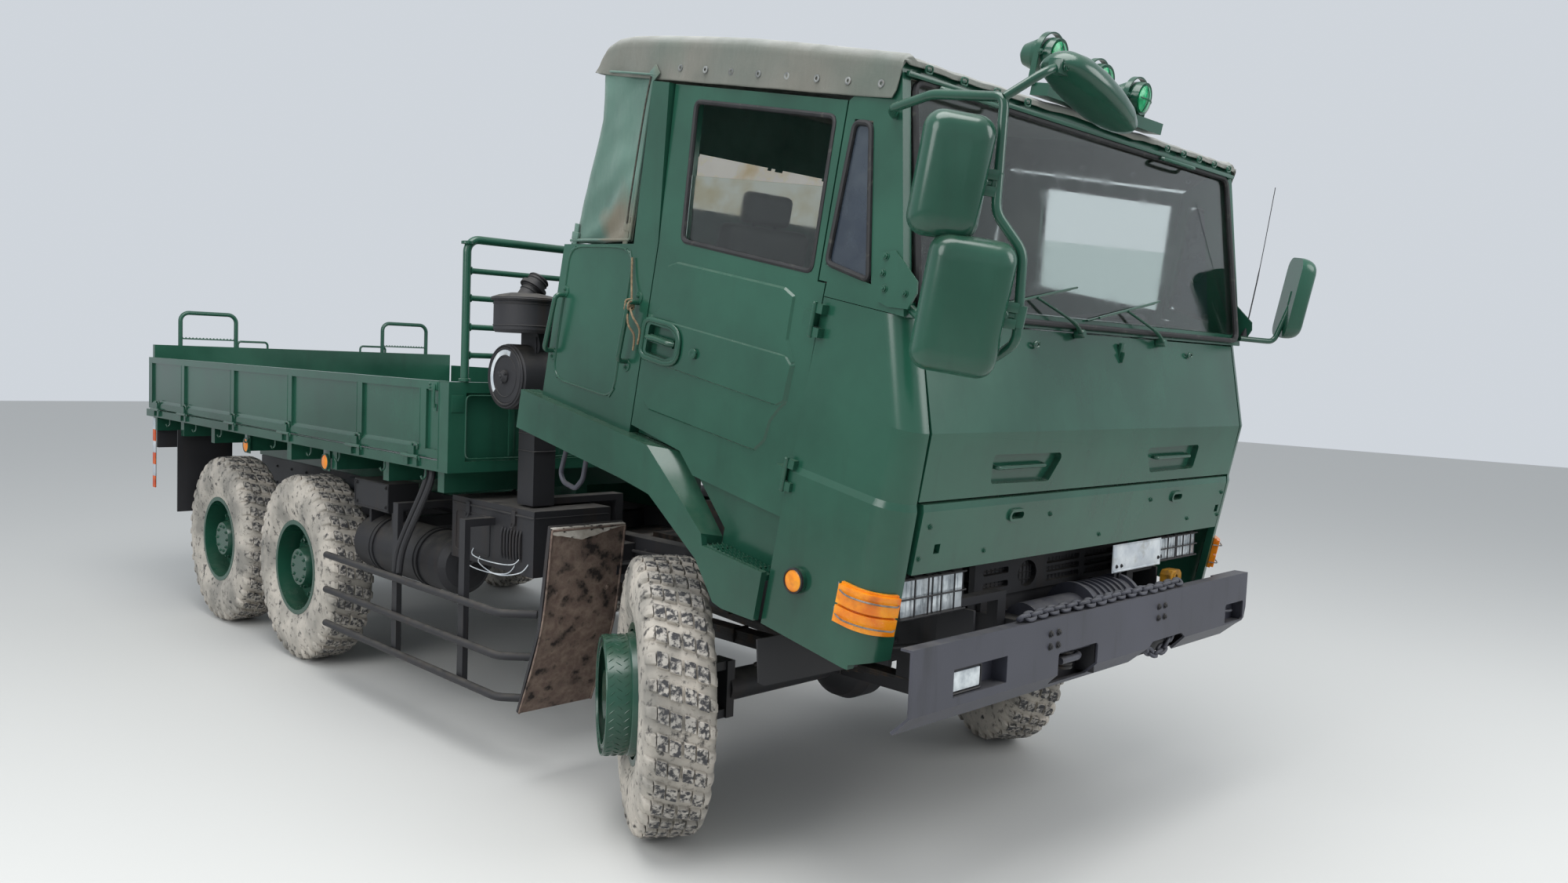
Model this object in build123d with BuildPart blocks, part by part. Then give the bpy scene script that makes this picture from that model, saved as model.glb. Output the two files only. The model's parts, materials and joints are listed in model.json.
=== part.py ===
# A six-wheel military cargo truck with a tilting soft-top cab, a drop-side bed,
# a front winch and singly shod axles. Front is -Y, the truck's right side is -X, up is +Z.

import os
from math import atan2, cos, degrees, radians, sin

from build123d import *

os.makedirs("parts", exist_ok=True)

# Rest pose: the cab stands unlatched and tilted forward, the front wheels are steered to the right
cab_tilt = 11.0
steer_angle = 31.0

# Running gaps
seat_gap = 0.3
panel_gap = 6.0

# Wheels and axles
front_axle_y = 60.0
first_rear_y = 3400.0
bogie_spacing = 1220.0
tyre_radius = 542.0
tyre_width = 278.0
tread_width = 190.0
rim_radius = 254.0
rim_wall = 10.0
rear_track_half = 1014.0
kingpin_x = 900.0
kingpin_scrub = 150.0
axle_radius = 62.0
axle_end_gap = 175.0
spindle_length = 120.0
step_ring_radius = 230.0
step_ring_width = 90.0
step_ring_out = 235.0

# Chassis rails
rail_outer = 430.0
rail_height = 240.0
rail_flange = 80.0
rail_wall = 8.0
rail_top = 980.0
rail_front = -1120.0
rail_rear = 5740.0
cross_width = 70.0
cross_height = 150.0

# Bumper and winch
bumper_face_y = -1210.0
bumper_half = 1180.0
bumper_top = 1010.0
bumper_fold = 800.0
bumper_low = 735.0
bumper_wall = 8.0
winch_y = -1050.0
winch_z = 950.0
winch_radius = 118.0
winch_half = 330.0

# Cab in its own level frame
pivot_y = -800.0
pivot_z = 1040.0
cab_half = 1170.0
door_thick = 45.0
skin = 30.0
floor_z = 1290.0
floor_thick = 30.0
belt_z = 2088.0
roof_z = 2812.0
cab_rear_y = 905.0
door_rear_y = 290.0
door_front_y = -575.0
frame_height = 572.0
frame_lean = 32.0

# Bed
bed_front_y = 1520.0
bed_rear_y = 5840.0
bed_half = 1208.0
deck_top = 1330.0
deck_thick = 35.0
sill_low = 1278.0
sill_width = 38.0
sill_top = 1328.0
post_size = 90.0
board_low = 1338.0
board_top = 1700.0
board_thick = 35.0
gate_top = 1790.0
rack_top = 2360.0


def rod(points, thickness, bend):
    """One round bar or tube along straight runs joined by arcs."""
    with BuildPart() as bar:
        with BuildLine() as path:
            if len(points) > 2:
                FilletPolyline(*points, radius=bend)
            else:
                Line(*points)
        with BuildSketch(Plane(origin=path.line @ 0, z_dir=path.line % 0)):
            Circle(thickness / 2)
        sweep(path=path.line)
    return bar.part


def slab(outline, plane, amount, corner=0):
    """One flat piece from a closed outline drawn on a plane, its corners rounded if asked."""
    with BuildPart() as piece:
        with BuildSketch(plane) as shape:
            with BuildLine():
                Polyline(*outline, close=True)
            make_face()
            if corner:
                fillet(shape.vertices(), corner)
        extrude(amount=amount)
    return piece.part


def pressing(outline, plane, rise, corner):
    """One panel pressed outwards, with sides that slope in at 45 degrees."""
    with BuildPart() as piece:
        with BuildSketch(plane) as shape:
            with BuildLine():
                Polyline(*outline, close=True)
            make_face()
            fillet(shape.vertices(), corner)
        extrude(amount=rise, taper=45)
    return piece.part


def block(low, high):
    """One square-edged solid between two opposite corners."""
    middle = tuple((a + b) / 2 for a, b in zip(low, high))
    size = [abs(b - a) for a, b in zip(low, high)]
    with BuildPart() as piece:
        with Locations(middle):
            Box(*size)
    return piece.part


def turned(outline):
    """One solid turned about the X axis from an outline of axial and radial places."""
    with BuildPart() as piece:
        with BuildSketch(Plane.XY):
            with BuildLine():
                Polyline(*outline, close=True)
            make_face()
        revolve(axis=Axis.X)
    return piece.part


# Planes that the side profiles are drawn on: local x is Y, local y is Z
def side_plane(x):
    return Plane(origin=(x, 0, 0), x_dir=(0, 1, 0), z_dir=(1, 0, 0))


def front_plane(y):
    return Plane(origin=(0, y, 0), x_dir=(1, 0, 0), z_dir=(0, -1, 0))


# The right flank seen from outside: local x is -Y, local y is Z, and it may lean in by a slope
def flank_plane(x, z=0, slope=0):
    return Plane(origin=(x, 0, z), x_dir=(0, -1, 0), z_dir=(-1, 0, slope))


def on_flank(outline, base_z=0):
    return [(-y, z - base_z) for y, z in outline]


# Chassis frame: two channel rails, crossmembers, spring hangers and tow eyes
rail_middle = rail_top - rail_height / 2
rail_bottom = rail_top - rail_height
cross_places = [-888, 1350, 2150, 2950, 4010, 5000, 5690]
bogie_y = first_rear_y + bogie_spacing / 2
rear_second_y = first_rear_y + bogie_spacing
hanger_places = [front_axle_y - 640, front_axle_y + 640]
spring_x = 390.0
spring_width = 75.0
leaf_thick = 60.0
axle_pad = tyre_radius + axle_radius + seat_gap
leaf_top = axle_pad + leaf_thick

with BuildPart() as frame_rails:
    for side in (-1, 1):
        with BuildSketch(front_plane(rail_front)):
            with Locations((side * (rail_outer - rail_flange / 2), rail_middle)):
                Rectangle(rail_flange, rail_height)
            with Locations((side * (rail_outer - rail_flange / 2 - rail_wall), rail_middle)):
                Rectangle(rail_flange, rail_height - 2 * rail_wall, mode=Mode.SUBTRACT)
        extrude(amount=-(rail_rear - rail_front))
    with Locations(*[(0, y, rail_middle) for y in cross_places]):
        Box(2 * (rail_outer - rail_wall), cross_width, cross_height)
    for side in (-1, 1):
        for y in hanger_places:
            add(block((side * spring_x - 37, y - 35, leaf_top + seat_gap), (side * spring_x + 37, y + 35, rail_bottom + 8)))
    with Locations((0, rail_rear + 50, 805)):
        Box(220, 140, 130)
    for side in (-1, 1):
        with Locations((side * (rail_outer - 40), pivot_y, (pivot_z + rail_top) / 2)):
            Box(70, 90, pivot_z - rail_top + 50)
    with Locations((0, pivot_y, pivot_z)):
        Cylinder(24, 2 * rail_outer + 30, rotation=(0, 90, 0), mode=Mode.SUBTRACT)

# Bumper: a folded channel with lamp recesses, a hook opening and a notch for the chain
with BuildPart() as bumper:
    section = [
        (bumper_face_y + 45, bumper_top),
        (bumper_face_y, bumper_top),
        (bumper_face_y, bumper_fold),
        (bumper_face_y + 65, bumper_low),
        (bumper_face_y + 65 + bumper_wall, bumper_low + bumper_wall),
        (bumper_face_y + bumper_wall, bumper_fold + 3),
        (bumper_face_y + bumper_wall, bumper_top - bumper_wall),
        (bumper_face_y + 45, bumper_top - bumper_wall),
    ]
    add(slab(section, side_plane(-bumper_half), 2 * bumper_half))
    # the right lamp recess, the left one at the bent end, the hook opening and the notch for the chain
    for opening, corner in (
        ([(-965, 828), (-965, 918), (-672, 918), (-672, 828)], 6),
        ([(975, 806), (975, 888), (1150, 888), (1150, 806)], 10),
        ([(-355, 757), (-355, 879), (-88, 879), (-88, 757)], 14),
        ([(250, 700), (305, 800), (335, 820), (575, 822), (602, 806), (640, 700)], 8),
    ):
        with BuildSketch(front_plane(bumper_face_y - 20)) as shape:
            with BuildLine():
                Polyline(*opening, close=True)
            make_face()
            fillet(shape.vertices(), corner)
        extrude(amount=-120, mode=Mode.SUBTRACT)
    # the lower corner of the bent left end is cut away, and its cap turns back with a deeper top flange
    with BuildSketch(front_plane(bumper_face_y - 20)):
        with BuildLine():
            Polyline((1060, 700), (1120, 785), (1165, 810), (bumper_half + 5, 870), (bumper_half + 5, 700), close=True)
        make_face()
    extrude(amount=-120, mode=Mode.SUBTRACT)
    cap = [(bumper_face_y, bumper_top), (bumper_face_y, 872), (-1170, 830), (-1150, 890), (-1150, bumper_top)]
    add(slab(cap, side_plane(bumper_half - bumper_wall), bumper_wall))
    add(block((940, bumper_face_y + 40, bumper_top - bumper_wall), (bumper_half, -1150, bumper_top)))
    # the box behind the right lamp recess and its lamp
    add(block((-973, bumper_face_y + bumper_wall, 820), (-664, bumper_face_y + 70, 926)))
    add(block((-965, bumper_face_y - 20, 828), (-672, bumper_face_y + 62, 918)), mode=Mode.SUBTRACT)
    add(block((-955, bumper_face_y + 20, 836), (-805, bumper_face_y + 64, 910)))
    for side in (-1, 1):
        with Locations((side * (rail_outer - 40), (bumper_face_y + bumper_wall + rail_front) / 2, 900)):
            Box(70, rail_front - bumper_face_y - bumper_wall, 160)
    # two hook bars behind the hook opening, from the rail bracket to a plate on the sheet
    add(block((-78, bumper_face_y + bumper_wall, 830), (-64, bumper_face_y + 66, 905)))
    add(rod([(-357, bumper_face_y + 40, 866), (-70, bumper_face_y + 40, 866)], 18, 0))
    hook = [(-358, 74, 836), (-190, 74, 836), (-130, 50, 836), (-190, 26, 836), (-300, 26, 836)]
    add(rod([(x, bumper_face_y + y, z) for x, y, z in hook], 26, 14))

# Winch: drum between two flanged ends, held by two side plates that bear on the rails
winch_reach = rail_outer - rail_flange - seat_gap
with BuildPart() as winch:
    with Locations((0, winch_y, winch_z)):
        Cylinder(winch_radius - 40, 2 * winch_reach, rotation=(0, 90, 0))
    for x in (-10, 312):
        with Locations((x, winch_y, winch_z)):
            Cylinder(winch_radius, 20, rotation=(0, 90, 0))
    with Locations((155, winch_y, winch_z)):
        Cylinder(winch_radius - 14, 300, rotation=(0, 90, 0))
    for x in range(50, 290, 40):
        with Locations((x, winch_y, winch_z)):
            Cylinder(winch_radius - 5, 8, rotation=(0, 90, 0))
    for side in (-1, 1):
        add(block((side * winch_reach, winch_y - 45, rail_bottom), (side * (winch_reach - 14), winch_y + 90, 990)))
    add(block((-winch_reach, winch_y - 40, 800), (winch_reach, winch_y + 80, 826)))

# Chain laid along the bumper's top, with a loop hanging through its notch
link_long = 66.0
link_wide = 38.0
link_thick = 13.0
link_step = 39.0
chain_y = bumper_face_y + 22


def chain_link(place, climb, roll):
    """One oval link; climb tips it along the chain, roll sets it flat or on edge."""
    with BuildPart() as link:
        with BuildSketch():
            for inset, mode in ((0, Mode.ADD), (link_thick + 1, Mode.SUBTRACT)):
                half, wide = link_long / 2 - inset, link_wide / 2 - min(inset, link_thick - 1)
                flat = max(half - wide, 4)
                with BuildLine():
                    Polyline((-half, -wide / 2), (-half, wide / 2), (-flat, wide), (flat, wide), (half, wide / 2),
                             (half, -wide / 2), (flat, -wide), (-flat, -wide), close=True)
                make_face(mode=mode)
        extrude(amount=link_thick / 2, both=True)
    return link.part.moved(Location(place, (0, -climb, 0)) * Location((0, 0, 0), (roll, 0, 0)))


with BuildPart() as winch_chain:
    for count in range(30):
        x = -565 + count * link_step
        place = (x, chain_y + 5 * sin(x / 70), bumper_top + 18.5 + seat_gap)
        add(chain_link(place, 0, 45 if count % 2 else -45))
    # the loop: places along it and how steeply it runs
    for count, (x, z, climb) in enumerate((
        (318, 828, -64), (339, 795, -52), (368, 770, -32), (403, 756, -12), (442, 753, 6), (480, 763, 24),
        (512, 784, 42), (537, 813, 56),
    )):
        add(chain_link((x, bumper_face_y + 34, z), climb, 45 if count % 2 else -45))
    for x in (312, 545):
        add(rod([(x, bumper_face_y + bumper_wall + seat_gap, 836), (x, bumper_face_y + 60, 836)], 14, 0))

# Engine, radiator, gearbox, transfer case and propeller shafts as plain masses
engine_half = rail_outer - rail_flange - seat_gap
with BuildPart() as powertrain:
    add(block((-engine_half, -500, 750), (engine_half, 700, 1200)))
    add(block((-170, 700, 640), (170, 1290, 960)))
    add(block((-250, 1450, 580), (250, 1800, 900)))
    add(block((-60, 1290, 690), (60, 1450, 770)))
    add(rod([(0, 1450, 640), (0, front_axle_y + 177, 560)], 80, 0))
    add(rod([(0, 1800, 680), (0, first_rear_y - 178, 560)], 90, 0))
    add(rod([(0, first_rear_y + 175 + seat_gap, 545), (0, rear_second_y - 175 - seat_gap, 545)], 90, 0))

with BuildPart() as radiator:
    add(block((-engine_half, -700, 640), (engine_half, -620, 1200)))
    with Locations((0, -610, 920)):
        Cylinder(270, 20, rotation=(90, 0, 0))

# Front axle: banjo casing, tube and the two yokes that hold the kingpins
yoke_reach = 120.0
yoke_gap = 160.0
ear_thick = 35.0
banjo = [(-190, axle_radius), (-150, 110), (-105, 152), (-50, 175), (50, 175), (105, 152), (150, 110), (190, axle_radius)]
front_half = kingpin_x - yoke_reach
with BuildPart() as front_axle:
    casing = turned([(-front_half, 0), (-front_half, axle_radius), *banjo, (front_half, axle_radius), (front_half, 0)])
    add(casing.moved(Location((0, front_axle_y, tyre_radius))))
    ear_z = (yoke_gap + ear_thick) / 2
    for side in (-1, 1):
        add(block((side * (front_half - 20), front_axle_y - 50, tyre_radius - yoke_gap / 2 - ear_thick),
                  (side * (front_half + 20), front_axle_y + 50, tyre_radius + yoke_gap / 2 + ear_thick)))
        for level in (-1, 1):
            with Locations((side * (kingpin_x - yoke_reach / 2), front_axle_y, tyre_radius + level * ear_z)):
                Box(yoke_reach, 80, ear_thick)
            with Locations((side * kingpin_x, front_axle_y, tyre_radius + level * ear_z)):
                Cylinder(40, ear_thick)

# Rear axles of the bogie
rear_half = rear_track_half - axle_end_gap
with BuildPart() as rear_axles:
    casing = turned([(-rear_half, 0), (-rear_half, axle_radius), *banjo, (rear_half, axle_radius), (rear_half, 0)])
    for axle_y in (first_rear_y, first_rear_y + bogie_spacing):
        add(casing.moved(Location((0, axle_y, tyre_radius))))

# Leaf springs: two in front, two on the bogie trunnions
with BuildPart() as springs:
    for side in (-1, 1):
        x = side * spring_x
        add(block((x - spring_width / 2, front_axle_y - 675, axle_pad),
                  (x + spring_width / 2, front_axle_y + 675, leaf_top)))
        add(block((x - spring_width / 2, first_rear_y - 60, axle_pad),
                  (x + spring_width / 2, first_rear_y + bogie_spacing + 60, leaf_top)))
        add(block((x - 70, bogie_y - 110, axle_pad - 60), (x + 70, bogie_y + 110, rail_bottom - seat_gap)))

# Tanks: round air tank on the right with a cover box over it, square fuel tank on the left
tank_x, tank_z, tank_radius = -905.0, 770.0, 150.0
tank_outline = [(-505, 0), (-502, 70), (-488, 120), (-460, tank_radius), (460, tank_radius), (488, 120), (502, 70), (505, 0)]
with BuildPart() as tanks:
    add(turned(tank_outline).moved(Location((tank_x, 2335, tank_z), (0, 0, 90))))
    for y in (2100, 2590):
        add(turned([(-22, 0), (-22, tank_radius + 5), (22, tank_radius + 5), (22, 0)]).moved(
            Location((tank_x, y, tank_z), (0, 0, 90))))
        add(block((-rail_outer - seat_gap, y - 25, 860), (tank_x, y + 25, 920)))
    for y in (2460, 2720):
        add(block((-1000, y - 12, 880), (-930, y + 12, 985)))
    add(block((-1050, 2410, 975), (-880, 2806, 1126)))
    add(slab([(620, 1040), (1030, 1040), (1030, 620), (1000, 560), (660, 560), (620, 620)], front_plane(1300), -1100, 20))
    for y in (1500, 2200):
        add(block((rail_outer + seat_gap, y - 30, 800), (622, y + 30, 900)))

# Exhaust silencer and tail pipe
silencer_x = -rear_track_half + 224
silencer_outline = [(-260, 0), (-260, 52), (-236, 72), (236, 72), (260, 52), (260, 0)]
with BuildPart() as exhaust:
    add(turned(silencer_outline).moved(Location((silencer_x + 18, 3200, 985), (0, 0, 90))))
    add(rod([(silencer_x + 18, 3450, 985), (silencer_x + 18, 3700, 985)], 84, 0))
    add(block((-rail_outer - seat_gap, 3180, 950), (silencer_x, 3220, 975)))

# Battery box on the right rail
with BuildPart() as battery_box:
    add(block((-1020, 1080, 840), (-600, 1800, 1140)))
    add(block((-600, 1100, 870), (-rail_outer - seat_gap, 1190, 950)))
    add(block((-600, 1600, 870), (-rail_outer - seat_gap, 1700, 950)))

# Side guards: three tubes a side on two posts
guard_x = 1190.0
guard_levels = [705.0, 515.0, 330.0]
guard_tube = 36.0
guard_front_y = 960.0
guard_rear_y = 2840.0
guard_posts = [1430.0, 2080.0]
guard_arm_z = 1040 + seat_gap
with BuildPart() as side_guards:
    for side in (-1, 1):
        for level in guard_levels:
            add(rod([(side * (guard_x - 120), guard_front_y, level), (side * guard_x, guard_front_y + 120, level),
                     (side * guard_x, guard_rear_y, level)], guard_tube, 100))
        for post_y in guard_posts:
            add(block((side * (guard_x - 42), post_y - 25, guard_levels[-1] - 20),
                      (side * (guard_x - 14), post_y + 25, guard_arm_z + 35)))
    # the arms reach the battery box, the bed runner or the top of the fuel tank
    for side, post_y, inner in ((-1, 1430, 1020), (-1, 2080, spring_x + 35), (1, 1430, 900), (1, 2080, 900)):
        add(block((side * (inner + seat_gap), post_y - 25, guard_arm_z),
                  (side * (guard_x - 18), post_y + 25, guard_arm_z + 35)))

# Mudguards: rusty plates behind the front wheels, flat flaps behind the bogie
flap_y = 5230 + seat_gap
with BuildPart() as mudguards:
    for side in (-1, 1):
        plate = [(680, 1120), (700, 1140), (760, 700), (905, 310), (895, 305), (740, 700)]
        add(slab(plate, side_plane(side * 1010 - 190), 380))
        add(block((side * 840, 700, 900), (side * (rail_outer + seat_gap), 740, 940)))
        add(block((side * 1010 - 180, flap_y, 650), (side * 1010 + 180, flap_y + 12, 1215)))
        splash = [(1183, 912), (1168, 760), (1140, 745), (660, 735), (640, 760), (640, 912)]
        add(slab([(side * x, z) for x, z in splash], front_plane(-546), -6))
        add(block((side * (rail_outer + seat_gap), -552, 880), (side * 650, -534, 908)))

# Air intake behind the cab: cleaner canister lying across, a pot with a flared lid and the slanted inlet
pot_outline = [(1936, 0), (1936, 132), (1950, 140), (2076, 140), (2078, 152), (2092, 152), (2104, 120), (2114, 70), (2118, 0)]
canister_outline = [(-185, 0), (-185, 118), (-176, 140), (-168, 148), (150, 148), (176, 128), (185, 60), (185, 0)]
with BuildPart() as air_intake:
    add(turned(canister_outline).moved(Location((-885, 1270, 1737))))
    add(turned([(-24, 0), (-24, 16), (-8, 30), (0, 30), (0, 0)]).moved(Location((-1070, 1270, 1737))))
    add(turned(pot_outline).moved(Location((-1000, 1225, 0), (0, -90, 0))))
    add(block((-965, 1180, 1150), (-850, 1310, 1960)))
    add(block((-965, 1210, 1150), (-rail_outer - seat_gap, 1290, 1180)))
    add(block((-rail_outer - 40, 1210, 880), (-rail_outer - seat_gap, 1290, 1180)))
    add(rod([(-1000, 1225, 2090), (-930, 1225, 2185)], 90, 0))
    add(turned([(-8, 0), (-8, 62), (8, 62), (8, 0)]).moved(Location((-962, 1225, 2142), (0, -53.6, 0))))

# Grille on the radiator support, seen under the cab's lower panel
grille_y = -925.0
grille_low = 1030.0
with BuildPart() as grille:
    add(slab([(-477, grille_low), (-477, 1152), (-440, 1188), (620, 1188), (620, grille_low)], front_plane(grille_y), -25, 12))
    # slots right of the oval hole, then the long ones left of it
    for x, width, levels in ((-346, 160, (1072, 1122)), (112, 240, (1062, 1096, 1130)), (395, 250, (1062, 1096, 1130))):
        for z in levels:
            with BuildSketch(front_plane(grille_y - 10)):
                with Locations((x, z)):
                    RectangleRounded(width, 24, 8)
            extrude(amount=-60, mode=Mode.SUBTRACT)
    with BuildSketch(front_plane(grille_y - 10)):
        with Locations((-140, 1095)):
            Ellipse(62, 50)
    extrude(amount=-60, mode=Mode.SUBTRACT)
    for side in (-1, 1):
        add(block((side * 390 - 35, grille_y + 5, rail_top + seat_gap), (side * 390 + 35, grille_y + 60, grille_low + 5)))

# Twin headlamps each side in a boxed housing behind a wire guard; the left pair sits further in
lamp_face_y = -1040.0
# near and far x, low and high z of the housing, the side
headlamp_table = [(715, 1062, 1050, 1192, -1), (640, 980, 1080, 1192, 1)]
with BuildPart() as headlamps:
    for near, far, low, high, side in headlamp_table:
        add(block((side * near, lamp_face_y, low), (side * far, lamp_face_y + 80, high)))
        middle = (near + far) / 2
        for x_low, x_high in ((near + 12, middle - 6), (middle + 6, far - 12)):
            lens = [(side * x_low, low + 12), (side * x_low, high - 12), (side * x_high, high - 12), (side * x_high, low + 12)]
            add(slab(lens, front_plane(lamp_face_y + 1), 9, 8))
        for z in (low + 8, (low + high) / 2, high - 8):
            add(rod([(side * near, lamp_face_y + 20, z), (side * near, lamp_face_y - 22, z),
                     (side * far, lamp_face_y - 22, z), (side * far, lamp_face_y + 20, z)], 6, 10))
        for share in (0.2, 0.4, 0.6, 0.8):
            x = side * (near + (far - near) * share)
            add(rod([(x, lamp_face_y + 5, low + 3), (x, lamp_face_y - 22, low + 3), (x, lamp_face_y - 22, high - 3),
                     (x, lamp_face_y + 5, high - 3)], 6, 10))
        add(block((side * (rail_outer + seat_gap), -1030, 940), (side * 480, -985, 1080)))
        add(block((side * 470, -1030, 1052), (side * (near + 5), -985, 1080)))
        add(block((side * (near - 5), -1030, 1052), (side * (near + 30), -985, 1090)))

# Hinges of the drop sides and the tailgate: barrels in line, each half on its own leaf
hinge_radius = 8.0
hinge_out = 13.0
hinge_z = 1334.0
board_hinges = [1850.0, 2460.0, 3350.0, 4180.0, 5050.0, 5600.0]
gate_hinges = [-960.0, -480.0, 0.0, 480.0, 960.0]
board_hinge_x = bed_half + hinge_out
gate_hinge_y = bed_rear_y + hinge_out


def hinge_lug(along, side, place, leaf_end):
    """One barrel and the leaf that joins it to a face on its inner side."""
    x, y, z = place
    long = 60 if leaf_end > z else 31.4
    with BuildPart() as piece:
        with Locations(place):
            Cylinder(hinge_radius, long, rotation=(90, 0, 0) if along == "Y" else (0, 90, 0))
        near = z if leaf_end > z else z - 5
        if along == "Y":
            add(block((x, y - long / 2, near), (x - side * (hinge_out + 1), y + long / 2, leaf_end)))
        else:
            add(block((x - long / 2, y, near), (x + long / 2, y - hinge_out - 1, leaf_end)))
    return piece.part


# Bed floor: the deck between its sills, notched round the front posts
deck_half = bed_half - sill_width
bulkhead_thick = 45.0
with BuildPart() as bed_floor:
    add(block((-deck_half, bed_front_y + post_size, deck_top - deck_thick),
              (deck_half, bed_rear_y - bulkhead_thick, deck_top)))
    add(block((-bed_half + post_size + seat_gap, bed_front_y + bulkhead_thick, deck_top - deck_thick),
              (bed_half - post_size - seat_gap, bed_front_y + post_size, deck_top)))
    for side in (-1, 1):
        add(block((side * deck_half, bed_front_y + post_size + seat_gap, sill_low),
                  (side * bed_half, bed_rear_y - bulkhead_thick, sill_top)))
    add(block((-bed_half, bed_rear_y - bulkhead_thick, sill_low), (bed_half, bed_rear_y, sill_top)))
    for side in (-1, 1):
        for y in board_hinges:
            for end in (-1, 1):
                add(hinge_lug("Y", side, (side * board_hinge_x, y + end * 46, hinge_z), sill_low + 10))
    for x in gate_hinges:
        for end in (-1, 1):
            add(hinge_lug("X", 1, (x + end * 46, gate_hinge_y, hinge_z), sill_low + 10))

# Bed bearers: cross beams under the deck and the two long runners on the rails
bearer_places = [1645, 2200, 2800, 3400, 4010, 4620, 5200, 5760]
runner_top = 1175.0
with BuildPart() as bed_bearers:
    for side in (-1, 1):
        add(block((side * spring_x - 35, bed_front_y + 95, rail_top + seat_gap),
                  (side * spring_x + 35, bed_rear_y - 50, runner_top)))
    for y in bearer_places:
        add(block((-deck_half, y - 30, runner_top), (deck_half, y + 30, deck_top - deck_thick)))

# Bulkhead with the corner posts and the tube rack above it
with BuildPart() as bulkhead:
    add(block((-bed_half, bed_front_y, sill_low), (bed_half, bed_front_y + bulkhead_thick - seat_gap, board_top)))
    for x in (-600, 600):
        with Locations((x, bed_front_y, 1490)):
            Box(1080, 50, 320, mode=Mode.SUBTRACT)
    for side in (-1, 1):
        add(block((side * (bed_half - post_size), bed_front_y, sill_low),
                  (side * bed_half, bed_front_y + post_size, board_top)))
    post_x = 1118
    rack_y = bed_front_y + 20
    add(rod([(-post_x, rack_y, board_top), (-post_x, rack_y, rack_top),
             (post_x, rack_y, rack_top), (post_x, rack_y, board_top)], 38, 60))
    for z in (1825, 1956, 2090, 2216):
        add(rod([(-post_x, rack_y, z), (post_x, rack_y, z)], 26, 0))

# Rear lamps and the red and white edge markers
with BuildPart() as rear_lamps:
    for side in (-1, 1):
        add(block((side * 1000 - 150, bed_rear_y - 75, 1050), (side * 1000 + 150, bed_rear_y - 35, 1175 - seat_gap)))

# Drop sides: framed boards with ribs on the outside
rib_places = [1760, 2430, 3312, 4186, 5082, 5750]
board_front_y = bed_front_y + post_size + panel_gap
board_rear_y = bed_rear_y - 45 - panel_gap
with BuildPart() as side_board_right:
    add(block((-bed_half + 12, board_front_y, board_low), (-bed_half + board_thick, board_rear_y, board_top)))
    add(block((-bed_half, board_front_y, board_low), (-bed_half + board_thick, board_rear_y, board_low + 40)))
    add(block((-bed_half, board_front_y, board_top - 40), (-bed_half + board_thick, board_rear_y, board_top)))
    for y in rib_places:
        add(block((-bed_half, y - 30, board_low), (-bed_half + board_thick, y + 30, board_top)))
    for y in board_hinges:
        add(hinge_lug("Y", -1, (-board_hinge_x, y, hinge_z), board_low + 45))
with BuildPart() as side_board_left:
    mirror(side_board_right.part, about=Plane.YZ)

# Tailgate with two climbing hoops and grab bars along its top
with BuildPart() as tailgate:
    add(block((-bed_half + board_thick + panel_gap, bed_rear_y - 40, board_low),
              (bed_half - board_thick - panel_gap, bed_rear_y, gate_top)))
    for x in gate_hinges:
        add(hinge_lug("X", 1, (x, gate_hinge_y, hinge_z), board_low + 45))
    for left, right in ((-989, -599), (562, 950)):
        y = bed_rear_y - 20
        add(rod([(left, y, gate_top), (left, y, 2030), (right, y, 2030), (right, y, gate_top)], 30, 60))
    for left, right in ((-585, -365), (374, 589)):
        y = bed_rear_y - 20
        add(rod([(left, y, gate_top), (left, y, gate_top + 45), (right, y, gate_top + 45), (right, y, gate_top)], 16, 25))

# Cab floor with toe board and pivot brackets
with BuildPart() as cab_floor:
    add(block((-1095, -800, floor_z), (1095, cab_rear_y - skin, floor_z + floor_thick)))
    toe = [(-800, floor_z), (-960, 1440), (-940, 1460), (-790, floor_z + floor_thick)]
    add(slab(toe, side_plane(-1060), 2120))
    beam = [(-1029.6, 1400), (-1029.6, 1466), (-1017.5, 1492), (-1017.5, 1560), (-940, 1560), (-940, 1400)]
    add(slab(beam, side_plane(-1086), 2172))
    arm = [(-835, 1025), (-765, 1005), (-700, 1100), (-560, floor_z), (-710, floor_z), (-838, 1045)]
    for side in (-1, 1):
        add(slab(arm, side_plane(side * (rail_outer + 25) - 15), 30))
    with Locations((0, pivot_y, pivot_z)):
        Cylinder(24 - seat_gap, 2 * rail_outer + 80, rotation=(0, 90, 0))

# Rear side panels with the sills and the door pillars
with BuildPart() as side_panels:
    panel = [
        (door_rear_y + panel_gap, 1360 + seat_gap), (door_rear_y + panel_gap, belt_z),
        (372, belt_z + frame_height), (470, belt_z + frame_height), (440, 2060),
        (893, 1990), (cab_rear_y, 1360 + seat_gap),
    ]
    add(slab(panel, side_plane(-cab_half), 40))
    sill = [
        (-585, 1100), (-270, 1100), (-270, 1160), (-5, 1362), (door_rear_y, 1362),
        (door_rear_y, 1386), (-12, 1366), (-102, 1300), (-585, 1294),
    ]
    add(slab(sill, side_plane(-1130), 35))
    mirror(about=Plane.YZ)

with BuildPart() as rear_wall:
    add(block((seat_gap - 1130, cab_rear_y - skin, floor_z), (1130 - seat_gap, cab_rear_y, 2000)))

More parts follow.
